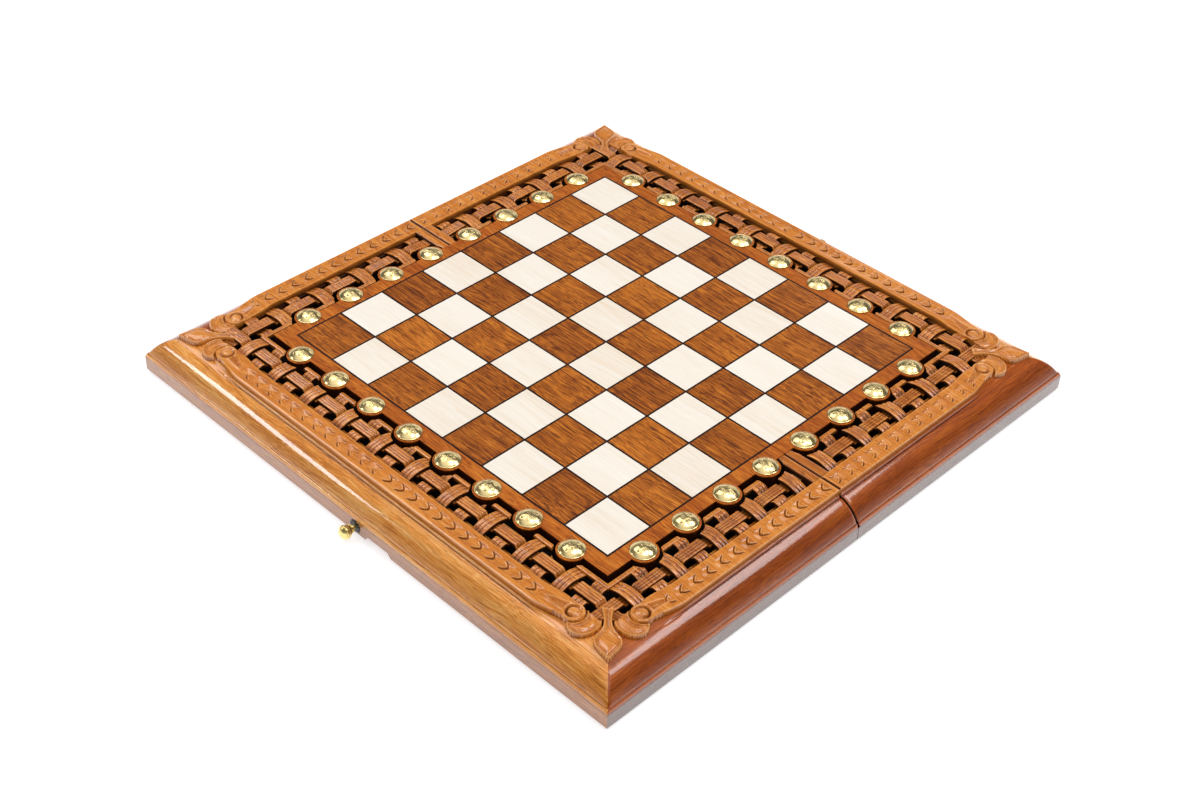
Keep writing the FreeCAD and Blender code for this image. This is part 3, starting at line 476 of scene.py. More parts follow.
# The section runs up from the weave's floor, out over the shelf under the band, the
# groove, the round, the quirk and the fillet, and back on top of the wall. Its points
# from ROUND_FROM up to ROUND_TO are the round, and those from OPEN_TO on are out of sight.
ROUND_FROM = 15
ROUND_TO = 41
OPEN_TO = 49
SECTION = np.array(
    [(MOAT, FLOOR + 0.1), (MOAT, 30.0), (MOAT, 31.9), (210.3, GROUND), (216.0, GROUND),
     (222.0, GROUND), (225.0, GROUND), (BAND, GROUND), (230.3, GROUND), (230.75, 32.08),
     (230.95, 31.8), (231.3, 30.8), (231.6, 30.32), (231.95, 30.2), (232.3, 30.42)]
    + arc_points()
    + [(248.28, 17.45), (248.5, 17.35), (248.8, 17.2), (249.3, 16.7), (249.7, 15.9),
       (249.93, 14.9), (250.0, 14.1), (249.9, WALL_TOP), (243.0, WALL_TOP), (236.0, WALL_TOP),
       (236.0, 18.1), (238.9, 18.1), (238.9, FLOOR + 0.1)])


FALL_FROM, FALL_TO = 222.0, 236.0


def corner_ground(distance):
    """Height of the ground near a corner, where groove and fillet run out."""
    span = FALL_TO - FALL_FROM
    share = np.clip((distance - FALL_FROM) / span, 0.0, 1.0)
    fall = 29.44 - GROUND
    slope = -0.48 * span
    curve = fall * (3 * share ** 2 - 2 * share ** 3) + slope * (share ** 3 - share ** 2)
    return GROUND + curve


def moulding_grid(side):
    """Places along a moulding and distances across it, one section to a row. It is cut
    to the mitre at a corner, where its edge is rounded."""
    distance, level = SECTION.T
    straight = 205.0
    common = np.arange(12.0, 204.0, 6.0)
    if side == "end":
        middle = np.hstack([-common[::-1], np.arange(-6.0, 7.0, 6.0), common])
    else:
        fold_end = FOLD_GAP + np.array([0, 0.15, 0.4, 0.8, 1.3, 2.2, 4.0])
        middle = np.hstack([fold_end, common])
    radius = 3.2 * smooth((distance - 231.0) / 9.0) * smooth((level - 13.0) / 7.0)
    radius[OPEN_TO:] = 0.0
    turn = np.radians(np.linspace(7.5, 45.0, 6))
    shares = np.linspace(0.0, 1.0, 13)[:, None]
    tail = straight + shares * (distance - radius - straight)
    bend = distance - radius + radius * np.sin(turn)[:, None]
    along = np.vstack([np.repeat(middle[:, None], len(SECTION), 1), tail, bend])
    across = repeated(distance, len(along))
    across[-len(turn):] -= radius - radius * np.cos(turn)[:, None]
    if side == "end":
        corner_rows = slice(-len(tail) - len(turn), None)
        along = np.vstack([-along[corner_rows][::-1], along])
        across = np.vstack([across[corner_rows][::-1], across])
    return along, across


def moulding_wear(fade):
    """Painted light and shade over a moulding, with some rubbing on its edges. The groove's
    painted shade fades towards the corners.
    """
    wear = np.zeros(len(SECTION))
    # Painted shade on the wall down into the moat and on the shelf under the band.
    wear[:6] = (-1.0, -1.0, -1.0, -1.0, -1.0, 0.0)
    # A painted highlight on the shelf's outer edge, then painted shade in the groove.
    wear[8:14] = (0.2, 0.8, 0.5, -0.5, -0.75, -0.5)
    distance = SECTION[ROUND_FROM:ROUND_TO, 0]
    # Painted shade on the lower round, which turns away from the light.
    wear[ROUND_FROM:ROUND_TO] = -0.24 * smooth((distance - 236.5) / 6.0)
    # Painted shade in a dark line at the round's foot, a painted highlight on the rounded
    # ledge, and darker again at its lower edge.
    wear[ROUND_TO - 2:ROUND_TO + 7] = (-0.1, 0.2, -0.9, -0.7, 0.4, 0.55, 0.4, 0.1, -0.5)
    wear = repeated(wear, len(fade))
    wear[:, 3:ROUND_FROM] *= 1.0 - fade[:, 3:ROUND_FROM]
    return wear


def moulding(half, side):
    """One moulding, rounded off at the fold and mitred at the corners."""
    shell = Shell(half)
    along, across = moulding_grid(side)
    height = repeated(SECTION[:, 1], len(along))
    fade = smooth((np.abs(along) - 150.0) / 30.0)
    shaped = np.zeros(len(SECTION), bool)
    shaped[3:ROUND_FROM + 5] = True
    shaped &= SECTION[:, 0] <= FALL_TO
    height = np.where(shaped, height + (corner_ground(across) - height) * fade, height)
    wear = moulding_wear(fade)
    if side != "end":
        ahead = np.roll(SECTION, -1, 0) - np.roll(SECTION, 1, 0)
        inwards = np.stack([ahead[:, 1], -ahead[:, 0]], -1)
        inwards /= np.linalg.norm(inwards, axis=1)[:, None]
        from_fold = along - FOLD_GAP
        rest = np.clip(1.0 - from_fold / 2.2, 0.0, 1.0)
        inset = 1.8 * (1.0 - np.sqrt(1.0 - rest ** 2))
        inset[:, :2] = 0.0
        inset[:, OPEN_TO:] = 0.0
        across += inset * inwards[:, 0]
        height += inset * inwards[:, 1]
        # A painted highlight on the rounded end by the fold, then painted shade in the fold
        # gap.
        wear = wear + 0.5 * bump(from_fold - 1.5, 0.6)
        wear = np.maximum(wear - 1.6 * smooth((0.9 - from_fold) / 0.6), -1.0)
    points = placed(along, across, height, side)
    if side != "end":
        shell.cap(points[0])
    shell.sheet(points, wear, around=True, out=None)
    name = half + "_" + side + "_moulding"
    material = end_wood if side == "end" else side_wood
    shell.build(name + "_shaped", "frame_wood", material, name, 40)


# Bands with their leaf chain, and the corners' carving

LEAF_LINE = 221.6
LEAF_PITCH = 13.2
LEAF_HALF = 3.9
LEAF_TIP = 5.0
LEAF_ARCH = (4.33, 8.23)  # offset and radius of the arcs that meet in a leaf's point
CHAIN_LENGTH = {"end": 158.0, "left": 164.0, "right": 164.0}


def tip_distance(here, across):
    """Distance outside a leaf whose pointed end lies ahead of it."""
    offset, radius = LEAF_ARCH
    arch = np.hypot(here + 2.0, np.abs(across) + offset) - radius
    return np.where(here > -2.0, arch, np.abs(across) - LEAF_HALF)


def leaf_chain(along, across, length):
    """Relief of overlapping leaves, with painted shade in the notch at each point and in the
    inner and flank lines, and painted highlights on the rims and in the scoops. Each one
    sinks behind the pointed end of the leaf before it, and rises again towards its own."""
    number = np.floor(along / LEAF_PITCH)
    here = along - number * LEAF_PITCH
    past = tip_distance(here, across)
    covered = past < 0
    before = tip_distance(here + LEAF_PITCH, across)
    ahead = np.hypot(here - LEAF_TIP, across * 0.8)
    beyond = np.where(covered, np.hypot(here + LEAF_PITCH - LEAF_TIP, across * 0.8), ahead)
    beyond = np.where(~covered & (here < LEAF_TIP) & (np.abs(across) > 2.0),
                      np.minimum(beyond, 9.0), beyond)
    within = smooth((LEAF_HALF + 0.5 - np.abs(across)) / 1.2)
    arm = smooth((here + 4.5) / 6.5)
    crease = bump(past - 0.3, 0.42) * arm
    sunk = (1.0 - smooth(beyond / 7.0)) * within
    sunk = sunk * np.where(covered, smooth((before - 0.2) / 0.4), 1.0)
    rim = bump(past + 0.65, 0.45) * arm
    inner = bump(past + 1.5, 0.3) * smooth((here + 2.5) / 4.0)
    flank = bump(np.abs(across) - LEAF_HALF - 0.2, 0.6) * (1.0 - smooth((beyond - 2.0) / 5.0))
    reach = smooth((along + 2.0) / 2.0) * smooth((length - along) / 3.0)
    relief = 0.3 * rim - 1.0 * sunk - 0.6 * crease - 0.22 * inner - 0.2 * flank
    # Painted shade in the notch, the inner line and the flanks; painted highlights on the rim
    # and a pale glint in the sunk scoop.
    wear = 0.75 * rim - 1.2 * crease - 0.5 * inner - 0.35 * flank + 0.2 * sunk * (1 - crease)
    return relief * reach, wear * reach


def band_relief(along, across, length):
    """Height of a band's top, with its painted light and shade. Along runs from the middle of
    the end, or from the fold, to the corner."""
    place = np.abs(along)
    relief, wear = leaf_chain(place - 4.0, across - LEAF_LINE, length)
    drift = (place - 160.0) / 22.0
    middle = 221.2 - 3.6 * smooth(drift)
    half = 0.6 + 3.4 * np.clip(drift, 0.0, 1.0) ** 0.8
    spoon = (half - np.abs(across - middle)) * smooth((place - 159.0) / 3.0)
    share = smooth((place - 160.0) / 8.0)
    relief = relief + share * (-1.9 * smooth(spoon / 2.6) + 0.3 * bump(spoon + 0.5, 0.5))
    # Painted shade in the spoon before the scroll and a painted highlight on its rim.
    wear = wear + share * (-0.25 * smooth(spoon / 2.6) + 0.4 * bump(spoon + 0.5, 0.5))
    radius = np.hypot(place - SCROLL[0], across - SCROLL[1])
    bearing = np.arctan2(across - SCROLL[1] - 0.4, SCROLL[0] - place)
    facing = (0.5 + 0.5 * np.cos(bearing - 0.5)) ** 0.8
    path = 4.9 - 0.8 * np.clip(bearing, -1.0, 2.6) / 2.6
    groove = facing * bump(radius - path, 0.85)
    eye = smooth((5.2 - radius) / 4.4)
    outer = bump(radius - 6.9, 1.0)
    dip = 0.25 * bump(radius - 5.4, 1.0) * (1 - facing)
    inside = smooth((8.0 - radius) / 1.2)
    scroll = 0.9 * eye - 0.4 - 2.4 * groove + 0.3 * outer - dip
    # Painted highlights on the scroll's eye and outer ring, painted shade in its groove and
    # dip.
    tone = 0.35 * eye - 1.1 * groove + 0.35 * outer - 0.2 * dip
    relief = relief * (1 - inside) + scroll * inside
    wear = wear * (1 - inside) + tone * inside
    return relief, np.clip(wear, -0.95, 0.7)


def band_edge(place):
    """Outer edge of a band, which curls in towards the scroll."""
    return BAND + 1.1 - 4.5 * smooth((np.abs(place) - 156.0) / 30.0)


def band_start(place):
    """Inner edge of a band, which the cross strips run up to."""
    return MOAT + 2.5 - 2.5 * smooth((np.abs(place) - 152.0) / 22.0)


def band(shell, side):
    """The flat band of one side, with its walls down to the weave and the moulding."""
    places = np.arange(0.0 if side == "end" else FOLD_GAP, CORNER_START, 0.55)
    places = np.append(places, CORNER_START + 0.01)
    if side == "end":
        places = np.hstack([-places[:0:-1], places])
    places = places[:, None]
    edge = band_edge(places)
    start = band_start(places) + 0.02
    across = start + 0.35 + (edge - 0.7 - start) * np.linspace(0.0, 1.0, 41)
    relief, wear = band_relief(places, across, CHAIN_LENGTH[side])
    inside, outside = across - start, across - edge
    rounding = -0.22 * bump(inside - 0.35, 0.35) - 0.22 * bump(outside + 0.35, 0.35)
    height = BAND_TOP - 0.08 + relief + rounding
    # Painted highlights, with some rubbing, along the band's rounded edges.
    wear = wear + 0.5 * bump(inside - 0.5, 0.35) + 0.6 * bump(outside + 0.5, 0.35)
    if side != "end":
        rest = np.clip(1.0 - (places - FOLD_GAP) / 1.9, 0.0, 1.0)
        height = height - 1.3 * (1.0 - np.sqrt(1.0 - rest ** 2))
        # A painted highlight on the rounded end by the fold, then painted shade in the fold
        # gap.
        wear = wear + 0.3 * bump(places - FOLD_GAP - 1.9, 0.7)
        wear = np.maximum(wear - 1.6 * smooth((1.0 - places + FOLD_GAP) / 0.7), -1.0)
    # The band's walls darken with painted shade as they go down.
    inner = [(start, 31.0, -1.0), (start, 34.6, -0.55), (start, 36.6, 0.0),
             (start + 0.1, 36.9, 0.4)]
    outer = [(edge - 0.1, 36.85, 0.5), (edge, 36.5, 0.2), (edge, 34.6, -0.1),
             (edge, 31.0, -0.8)]
    full = np.ones_like(edge)
    across, height, wear = (
        np.hstack([v * full for v in before] + [values] + [v * full for v in after])
        for before, values, after in zip(zip(*inner), (across, height, wear), zip(*outer)))
    points = placed(places, across, height, side)
    shell.sheet(points, wear)
    if side != "end":
        shell.cap(points[0])


BUD_TIP = 230.4
# Half widths by the distance back from the tip
BUD_WIDTHS = [(0.0, 0.0), (3.0, 2.2), (8.0, 5.9), (12.5, 8.9), (15.5, 9.7), (19.0, 8.6),
              (24.0, 5.2), (29.0, 3.3), (34.0, 2.8), (39.0, 3.3), (44.0, 4.3), (46.0, 4.5)]
BUD_REACH = 45.0
SKIRT = 0.31  # from a carving's edge to the foot of its side


def bud_shape(first, second):
    """Height of the bud on the diagonal, from its tip back to its stem, with its painted
    light and shade.
    """
    back = BUD_TIP * math.sqrt(2) - (first + second) / math.sqrt(2)
    aside = (first - second) / math.sqrt(2)
    fine = np.linspace(-2.0, 48.0, 201)
    widths = np.interp(fine, *zip(*BUD_WIDTHS))
    widths = np.convolve(np.pad(widths, 4, mode="edge"), np.ones(9) / 9, "valid")
    widths = np.where(fine < 1.5, np.minimum(widths, np.maximum(fine, -1.0) * 0.75), widths)
    half = np.interp(back, fine, widths)
    inside = np.minimum((half - np.abs(aside)) * 0.86, BUD_REACH - back)
    inside = np.where(back < 0, back, inside)
    belly = smooth((31.0 - back) / 9.0)
    rim = bump(inside - 0.6, 0.45)
    valley = bump(inside - 1.9, 0.85) * belly
    crown = smooth((inside - 2.4) / 4.5) * belly
    crease = bump(aside, 0.45) * smooth((8.0 - back) / 4.0) * smooth((back - 1.0) / 2.0)
    flute = bump(aside, 1.6) * (1 - belly)
    relief = 0.35 * rim - 0.9 * valley + 0.7 * crown - 0.9 * flute + 0.25 * crease
    lift = 0.55 * smooth((back - 26.0) / 10.0)
    # Painted highlights on the rim and crown, painted shade in the valley and the flute.
    wear = 0.4 * rim - 0.3 * valley + 0.12 * crown - 0.35 * flute
    return inside, 36.05 + relief + lift, wear


def crescent_shape(along, across):
    """Height of the crescent leaf beyond a scroll, with its painted light and shade."""
    outer = 11.0 - np.hypot(along - 196.4, (across - 218.2) * 0.88)
    inner = np.hypot(along - SCROLL[0], across - SCROLL[1] - 0.3) - 9.2
    inside = np.minimum(outer, inner)
    rim = bump(inside - 0.6, 0.45)
    span = np.maximum(outer + inner, 0.1)
    place = np.clip(inner / span, 0.0, 1.0)
    valley = smooth((inside - 0.8) / 1.4)
    fold = bump(place - 0.5, 0.13) * smooth((span - 3.0) / 2.0)
    relief = 0.4 * rim - 1.05 * valley + 0.75 * fold - 0.7 * (place - 0.5)
    # Painted highlights on the rims and the fold, painted shade in the valley.
    wear = 0.4 * rim - 0.22 * valley + 0.3 * fold
    return inside, 35.9 + relief, wear


def body_shape(along, across):
    """Distance inside the band's end, which curls into the scroll."""
    strip = np.minimum(across - band_start(along), band_edge(along) - across)
    disc = 8.3 - np.hypot(along - SCROLL[0], across - SCROLL[1])
    return np.where(along < SCROLL[0], np.maximum(strip, disc), disc)


def corner(shell, sign):
    """Scrolls, crescents and bud of one corner as one sheet with steep sides."""
    step, foot = 0.4, 26.5
    line = np.arange(CORNER_START, 232.9, step)
    first, second = np.meshgrid(line, line, indexing="ij")
    height = np.full(first.shape, foot)
    # The ground between the carvings carries painted shade.
    wear = np.full(first.shape, -0.7)

    def lay(inside, top, tone):
        """Lays a carving over the others where it is higher."""
        nonlocal height, wear
        rise = np.clip((inside + 0.3) / 0.55, 0.0, 1.0)
        shoulder = 0.45 * (1.0 - smooth((inside - 0.2) / 0.7))
        surface = foot + (top - shoulder - foot) * rise
        # A painted highlight along each carving's edge, and painted shade on its steep sides.
        tone = tone + 0.45 * bump(inside - 0.55, 0.4)
        tone = np.where(rise >= 1.0, tone, -0.5)
        higher = (surface > height) & (inside > -SKIRT)
        height = np.where(higher, surface, height)
        wear = np.where(higher, tone, wear)

    for along, across, side in ((first, second, "end"), (second, first, "left")):
        relief, tone = band_relief(along, across, CHAIN_LENGTH[side])
        lay(body_shape(along, across), BAND_TOP - 0.08 + relief, tone)
        lay(*crescent_shape(along, across))
    lay(*bud_shape(first, second))
    sunk = (first < MOAT) & (second < MOAT) & (bud_shape(first, second)[0] <= -SKIRT)
    rim_first = sunk & (first >= MOAT - step)
    rim_second = sunk & (second >= MOAT - step)
    first = np.where(rim_first & ~rim_second, MOAT, first)
    second = np.where(rim_second & ~rim_first, MOAT, second)
    height = np.where(sunk, 31.0, height)
    # The moat at the corner is painted near black as shade.
    wear = np.where(sunk, -1.0, wear)
    drop = (height <= foot) | (sunk & ~rim_first & ~rim_second)
    points = np.stack([sign * first, -second, height], -1)
    shell.sheet(points, wear, drop=drop)


# Woven lattice

STUD_LINES = [(number + 0.5) * SQUARE for number in range(4)]


def ring_edge(places):
    """How far the round groove of the nearest boss reaches from the board's middle."""
    places = np.abs(places)
    nearest = np.full(places.shape, 99.0)
    for line in STUD_LINES:
        nearest = np.minimum(nearest, np.abs(places - line))
    return PLATE + np.sqrt(np.maximum(RING ** 2 - nearest ** 2, 0.0))


END_COUNT = 20
END_PITCH = 2 * LONG_LINE / (END_COUNT + 1)
SIDE_COUNT = 9
SIDE_FIRST = 17.5
SIDE_PITCH = (LONG_LINE - SIDE_FIRST) / SIDE_COUNT


def end_places(lead):
    """Places of the end's cross strips, with 1 for over and -1 for under the long one."""
    return [((number + 1) * END_PITCH - LONG_LINE, lead * (-1) ** number)
            for number in range(END_COUNT)]


def side_places(lead, sign):
    """The same for a side, whose sign is 1 on the right and -1 on the left."""
    return [(SIDE_FIRST + number * SIDE_PITCH, sign * lead * (-1) ** number)
            for number in range(SIDE_COUNT)]


def strip_section(width, count):
    """Places across a strip, their depth, and their painted light and shade, with that many
    reeds on its top.
    """
    across = np.linspace(-width / 2 + 0.3, width / 2 - 0.3, count * 7 + 1)
    phase = (across / (width - 0.6) + 0.5) * count
    ridge = np.abs(np.sin(math.pi * phase)) ** 0.3
    depth = -0.6 * (1.0 - ridge) - 0.3 * (2 * across / width) ** 2
    # Reed ridges a little lighter, grooves darker with painted shade.
    wear = np.where(ridge > 0.5, 0.12, -0.6)
    depth_edge = np.array([-3.1, -1.2, -0.7, -0.42, -0.26, -0.22])
    # Down the strip's sides, painted shade to near black, under a painted highlight on the
    # edge.
    wear_edge = np.array([-1.0, -1.0, -0.3, 0.5, 0.6, 0.2])
    depth = np.hstack([depth_edge, depth[3:-3], depth_edge[::-1]])
    wear = np.hstack([wear_edge, wear[3:-3], wear_edge[::-1]])
    half = width / 2
    across = np.hstack([[-half, -half, -half + 0.08], across, [half - 0.08, half, half]])
    return across, depth, wear


CROSS = strip_section(10.4, 3)
LONG = strip_section(9.4, 4)


def strip_top(distance, level):
    """Height of a cross strip's top over or under the long strip."""
    if level > 0:
        return 36.8 - (distance - 197.4) ** 2 / 52.0
    outer = 36.1 - np.maximum(distance - 206.4, 0.0) ** 2 / 13.0
    rise = smooth((distance - 202.2) / 3.2)
    inner = 35.3 - 2.3 * smooth((distance - 188.5) / 4.6)
    return inner * (1 - rise) + outer * rise


def cross_strip(shell, place, level, side, seed):
    """One strip from the narrow line by the plate out to the band."""
    across, depth, wear = CROSS
    columns = place + across
    begin = np.maximum(INNER_LAST - 0.4, ring_edge(columns))
    shares = np.linspace(0.0, 1.0, 28)[:, None]
    distance = begin + (band_start(columns) + 0.05 - begin) * shares
    top = strip_top(distance, level)
    height = top + depth
    # Painted shade, darker where the strip dives low under the long strip.
    tone = wear - 0.7 * smooth((36.0 - top) / 2.8)
    distance = np.vstack([begin, distance])
    height = np.vstack([height[:1] - 2.6, height])
    # The drop at the strip's inner end is black with painted shade.
    tone = np.vstack([np.full(len(columns), -1.0), tone])
    swell = 1.0 + 0.02 * np.sin(distance * 0.31 + seed)
    along = place + (columns - place) * swell
    shell.sheet(placed(along, distance, height, side), tone)


def long_strip(shell, side, lead):
    """The strip along one side, down where a cross strip goes over it."""
    across, depth, wear = LONG
    if side == "end":
        pitch, start = END_PITCH, -209.9
        crossings = [(-LONG_LINE, lead)] + [(p, -l) for p, l in end_places(lead)]
        crossings.append((LONG_LINE, -lead))
    else:
        pitch, start = SIDE_PITCH, LATTICE_START
        sign = 1 if side == "right" else -1
        crossings = [(p, -l) for p, l in side_places(lead, sign)]
        crossings.append((LONG_LINE, sign * lead))
    knots = [(start, 35.0)]
    for place, level in crossings:
        top = 36.7 if level > 0 else 33.2
        reach = pitch - 9.2 if level > 0 else 5.9
        if place - reach > knots[-1][0]:
            knots.append((place - reach, top))
        knots.append((place + reach, top))
    knots.append((209.95, 34.8))
    distance = LONG_MIDDLE + across
    straight = 195.0
    last = np.minimum(209.9, 409.9 - distance)  # its outer corner is cut off
    tail = straight + np.linspace(0.0, 1.0, 16)[:, None] * (last - straight)
    places = np.arange(0.0 if side == "end" else start, 194.5, 0.8)
    along = np.vstack([np.repeat(places[:, None], len(across), 1), tail, last])
    if side == "end":
        along = np.vstack([-along[:0:-1], along])
    top = eased(along, knots)
    height = top + depth
    height[-1] -= 2.2
    if side == "end":
        height[0] -= 2.2
    # Painted shade, darker where the strip dives low under a cross strip.
    tone = wear - 0.45 * smooth((36.3 - top) / 2.8)
    shell.sheet(placed(along, distance, height, side), tone)


def columns_of(section):
    """A section's distances, heights and wear."""
    return (np.array(values) for values in zip(*section))


def inner_line(shell, side):
    """The narrow line beside the plate's groove, in pieces between the bosses."""
    # The line's sides go dark with painted shade, and its top edges get painted highlights.
    offset, depth, wear = columns_of(
        [(0.0, -3.0, -1.0), (0.0, -0.6, -0.3), (0.12, -0.2, 0.4), (0.4, 0.0, 0.5),
         (1.75, 0.05, 0.1), (3.1, 0.0, 0.4), (3.38, -0.2, 0.3), (3.5, -0.6, -0.4),
         (3.5, -3.0, -1.0)])
    reach = math.sqrt(RING ** 2 - (INNER_LAST - 0.6 - PLATE) ** 2)
    spans = []
    for number in range(4):
        middle = number * SQUARE
        low, high = middle - SQUARE / 2 + reach, middle + SQUARE / 2 - reach
        if side == "end" or number:
            spans.append((low, high))
        if side == "end" and number:
            spans.append((-high, -low))
    for low, high in spans:
        places = np.linspace(low, high, 22)[:, None]
        distance = np.clip(INNER_FIRST + offset, ring_edge(places), INNER_LAST)
        height = 35.4 + repeated(depth, len(places))
        height[[0, -1]] -= 1.2
        shell.sheet(placed(places, distance, height, side), wear)
    start = 3.5 * SQUARE + reach
    along = start + np.linspace(0.0, 1.0, 16)[:, None] * (INNER_FIRST + offset - start)
    distance = np.clip(INNER_FIRST + offset, ring_edge(along), INNER_LAST)
    for flip in (1, -1) if side == "end" else (1,):
        shell.sheet(placed(flip * along, distance, 35.4 + depth, side), wear)


def fold_border(shell, side):
    """Plain wood that closes the lattice beside the fold."""
    # Painted shade on the face at the fold, near black at its top edge.
    offset, height, tone = columns_of(
        [(0.0, FLOOR, -0.3), (0.0, 35.0, -0.3), (0.0, 35.8, -0.8), (0.2, 36.4, -0.95),
         (0.6, 36.8, -0.6), (1.1, 37.0, 0.1), (1.9, 37.1, 0.1)])
    distance = np.linspace(PLATE + 0.05, band_start(0.0), 44)[:, None]
    dip = np.sqrt(np.maximum(RING ** 2 - (distance - PLATE) ** 2, 0.0))
    end = np.minimum(LATTICE_START, SQUARE / 2 - dip)
    along = np.hstack([FOLD_GAP + offset + 0 * distance, end - offset[::-1]])
    # The lattice side of the border is black with painted shade below its top.
    tone = np.append(tone, np.where(height > 36, tone, -1.0)[::-1])
    height = np.append(height, height[::-1])
    shell.sheet(placed(along, distance, height, side), tone)


def edge_rail(shell, side):
    """The low ledge that the strips' outer ends stand over."""
    # Painted shade on the rail's face and on its top towards the moat wall.
    distance, height, wear = columns_of(
        [(205.5, FLOOR, -1.0), (205.5, 28.8, -0.5), (205.8, 29.5, 0.1),
         (207.5, 29.75, -0.3), (209.95, 29.8, -0.6)])
    low = -distance if side == "end" else LATTICE_START
    along = low + np.linspace(0.0, 1.0, 40)[:, None] * (distance - low)
    shell.sheet(placed(along, distance, height, side), wear)


# Studs, knobs and rosettes

def round_grid(radii, count):
    """Radii and angles of rings of that many points."""
    angles = np.linspace(0.0, 2 * math.pi, count, endpoint=False)
    return np.meshgrid(radii, angles, indexing="ij")


def stud(shell, x, y, turn, worn):
    """A domed stud with a worn six-petalled rose engraved in it."""
    rings = np.hstack([np.linspace(0.0, 8.6, 36), [9.0, 9.3, 9.47, STUD_RADIUS, STUD_RADIUS]])
    rise = 3.5
    ball = (STUD_RADIUS ** 2 + rise ** 2) / (2 * rise)
    dome = PLATE_TOP + 4.2 - (ball - np.sqrt(ball ** 2 - np.minimum(rings, 9.3) ** 2))
    dome[-3:] = (PLATE_TOP + 0.75, PLATE_TOP + 0.45, PLATE_TOP)
    radius, angle = round_grid(rings, 96)
    petal = 5.6 * np.abs(np.cos(3.0 * (angle + turn)))
    line = bump(radius - petal, 0.5) * smooth((radius - 0.9) / 0.8)
    vein = bump(radius * np.sin(3.0 * (angle + turn)) / 3.0, 0.3)
    vein *= smooth((radius - 1.2) / 0.8) * smooth((4.4 - radius) / 0.8)
    rubbed = 0.55 + 0.45 * np.sin(angle * 2 + turn * 9 + radius * 0.6)
    cut = np.maximum(line, 0.5 * vein) * rubbed * worn
    dent = 0.05 * np.sin(radius * 0.9 + 2 * angle + turn * 5)
    dent *= np.cos(3 * angle - radius + turn)
    height = dome[:, None] + 0.6 * dent * smooth((8.6 - radius) / 1.5) - 0.34 * cut - 0.1
    height[-3:] += 0.1
    wear = -0.9 * cut
    # Painted shadow on the stud's foot, where it meets the plate; the engraving above is
    # stained as patina.
    wear[-2:] = -0.6
    points = np.stack([x + radius * np.cos(angle), y + radius * np.sin(angle), height], -1)
    shell.sheet(points, wear, around=True)


def latch_points(half, radius, angle, depth):
    """Rings about the knob's axis, which leaves the end beside its middle."""
    aside, up = (-3.0 if half == "far" else 3.0), 7.95
    return np.stack([aside + radius * np.cos(angle), -depth, up + radius * np.sin(angle)], -1)


def turned_knob(half, prefix):
    """Neck, collar and ball with two turned beads, 264 mm out at its tip."""
    shares = np.linspace(0.0, 1.0, 25)
    curve = np.interp(shares, (0.0, 0.12, 0.42, 0.66, 0.86, 1.0),
                      (0.55, 0.72, 1.0, 0.94, 0.62, 0.0))
    padded = np.pad(curve, 1, mode="edge")
    curve[1:-1] = np.convolve(padded, (0.25, 0.5, 0.25), "valid")[1:-1]
    radii = np.hstack([[1.88, 1.88, 2.4, 3.4, 3.4, 2.7], 5.55 * curve])
    depths = np.hstack([[242.0, 252.9, 253.1, 253.3, 254.0, 254.3], 254.6 + 9.38 * shares])
    radius, angle = round_grid(radii, 48)
    depth = np.repeat(depths[:, None], radius.shape[1], 1)
    bead = 0.16 * bump(depth - 258.6, 0.25) + 0.1 * bump(depth - 260.4, 0.2)
    points = latch_points(half, radius * (1.0 - bead), angle, depth)
    knob = Shell(half)
    knob.sheet(points, np.clip(-5 * bead, -0.8, 0.0), around=True, out=None)
    knob.build(prefix + "_post_turned", "latch_brass", latch_brass, prefix + "_post")


def rosette(half, prefix):
    """Black disc with eight scallops, behind the knob."""
    shares = np.hstack([[0.3], np.linspace(0.36, 1.0, 14), [1.0]])
    share, angle = round_grid(shares, 96)
    edge = 5.15 + 0.55 * np.abs(np.cos(4 * angle)) ** 0.5
    flute = 0.3 * bump(np.sin(4 * angle + math.pi / 2) * share, 0.12)
    flute *= smooth((share - 0.45) / 0.2)
    depth = 250.0 + 0.75 * smooth((1.0 - share) / 0.2) - flute
    depth[-1] = 249.9
    depth = np.maximum(depth, 249.9)
    disc = Shell(half)
    # The sloping rim and the flutes turn to the grey stain colour, a painted highlight on the
    # black.
    disc.sheet(latch_points(half, share * edge, angle, depth),
               np.clip((depth - 250.7) * 1.5, -0.8, 0.0), around=True, out=(0, -1, 0))
    disc.build(prefix + "_rosette_scalloped", "black_metal", black_metal,
               prefix + "_rosette")


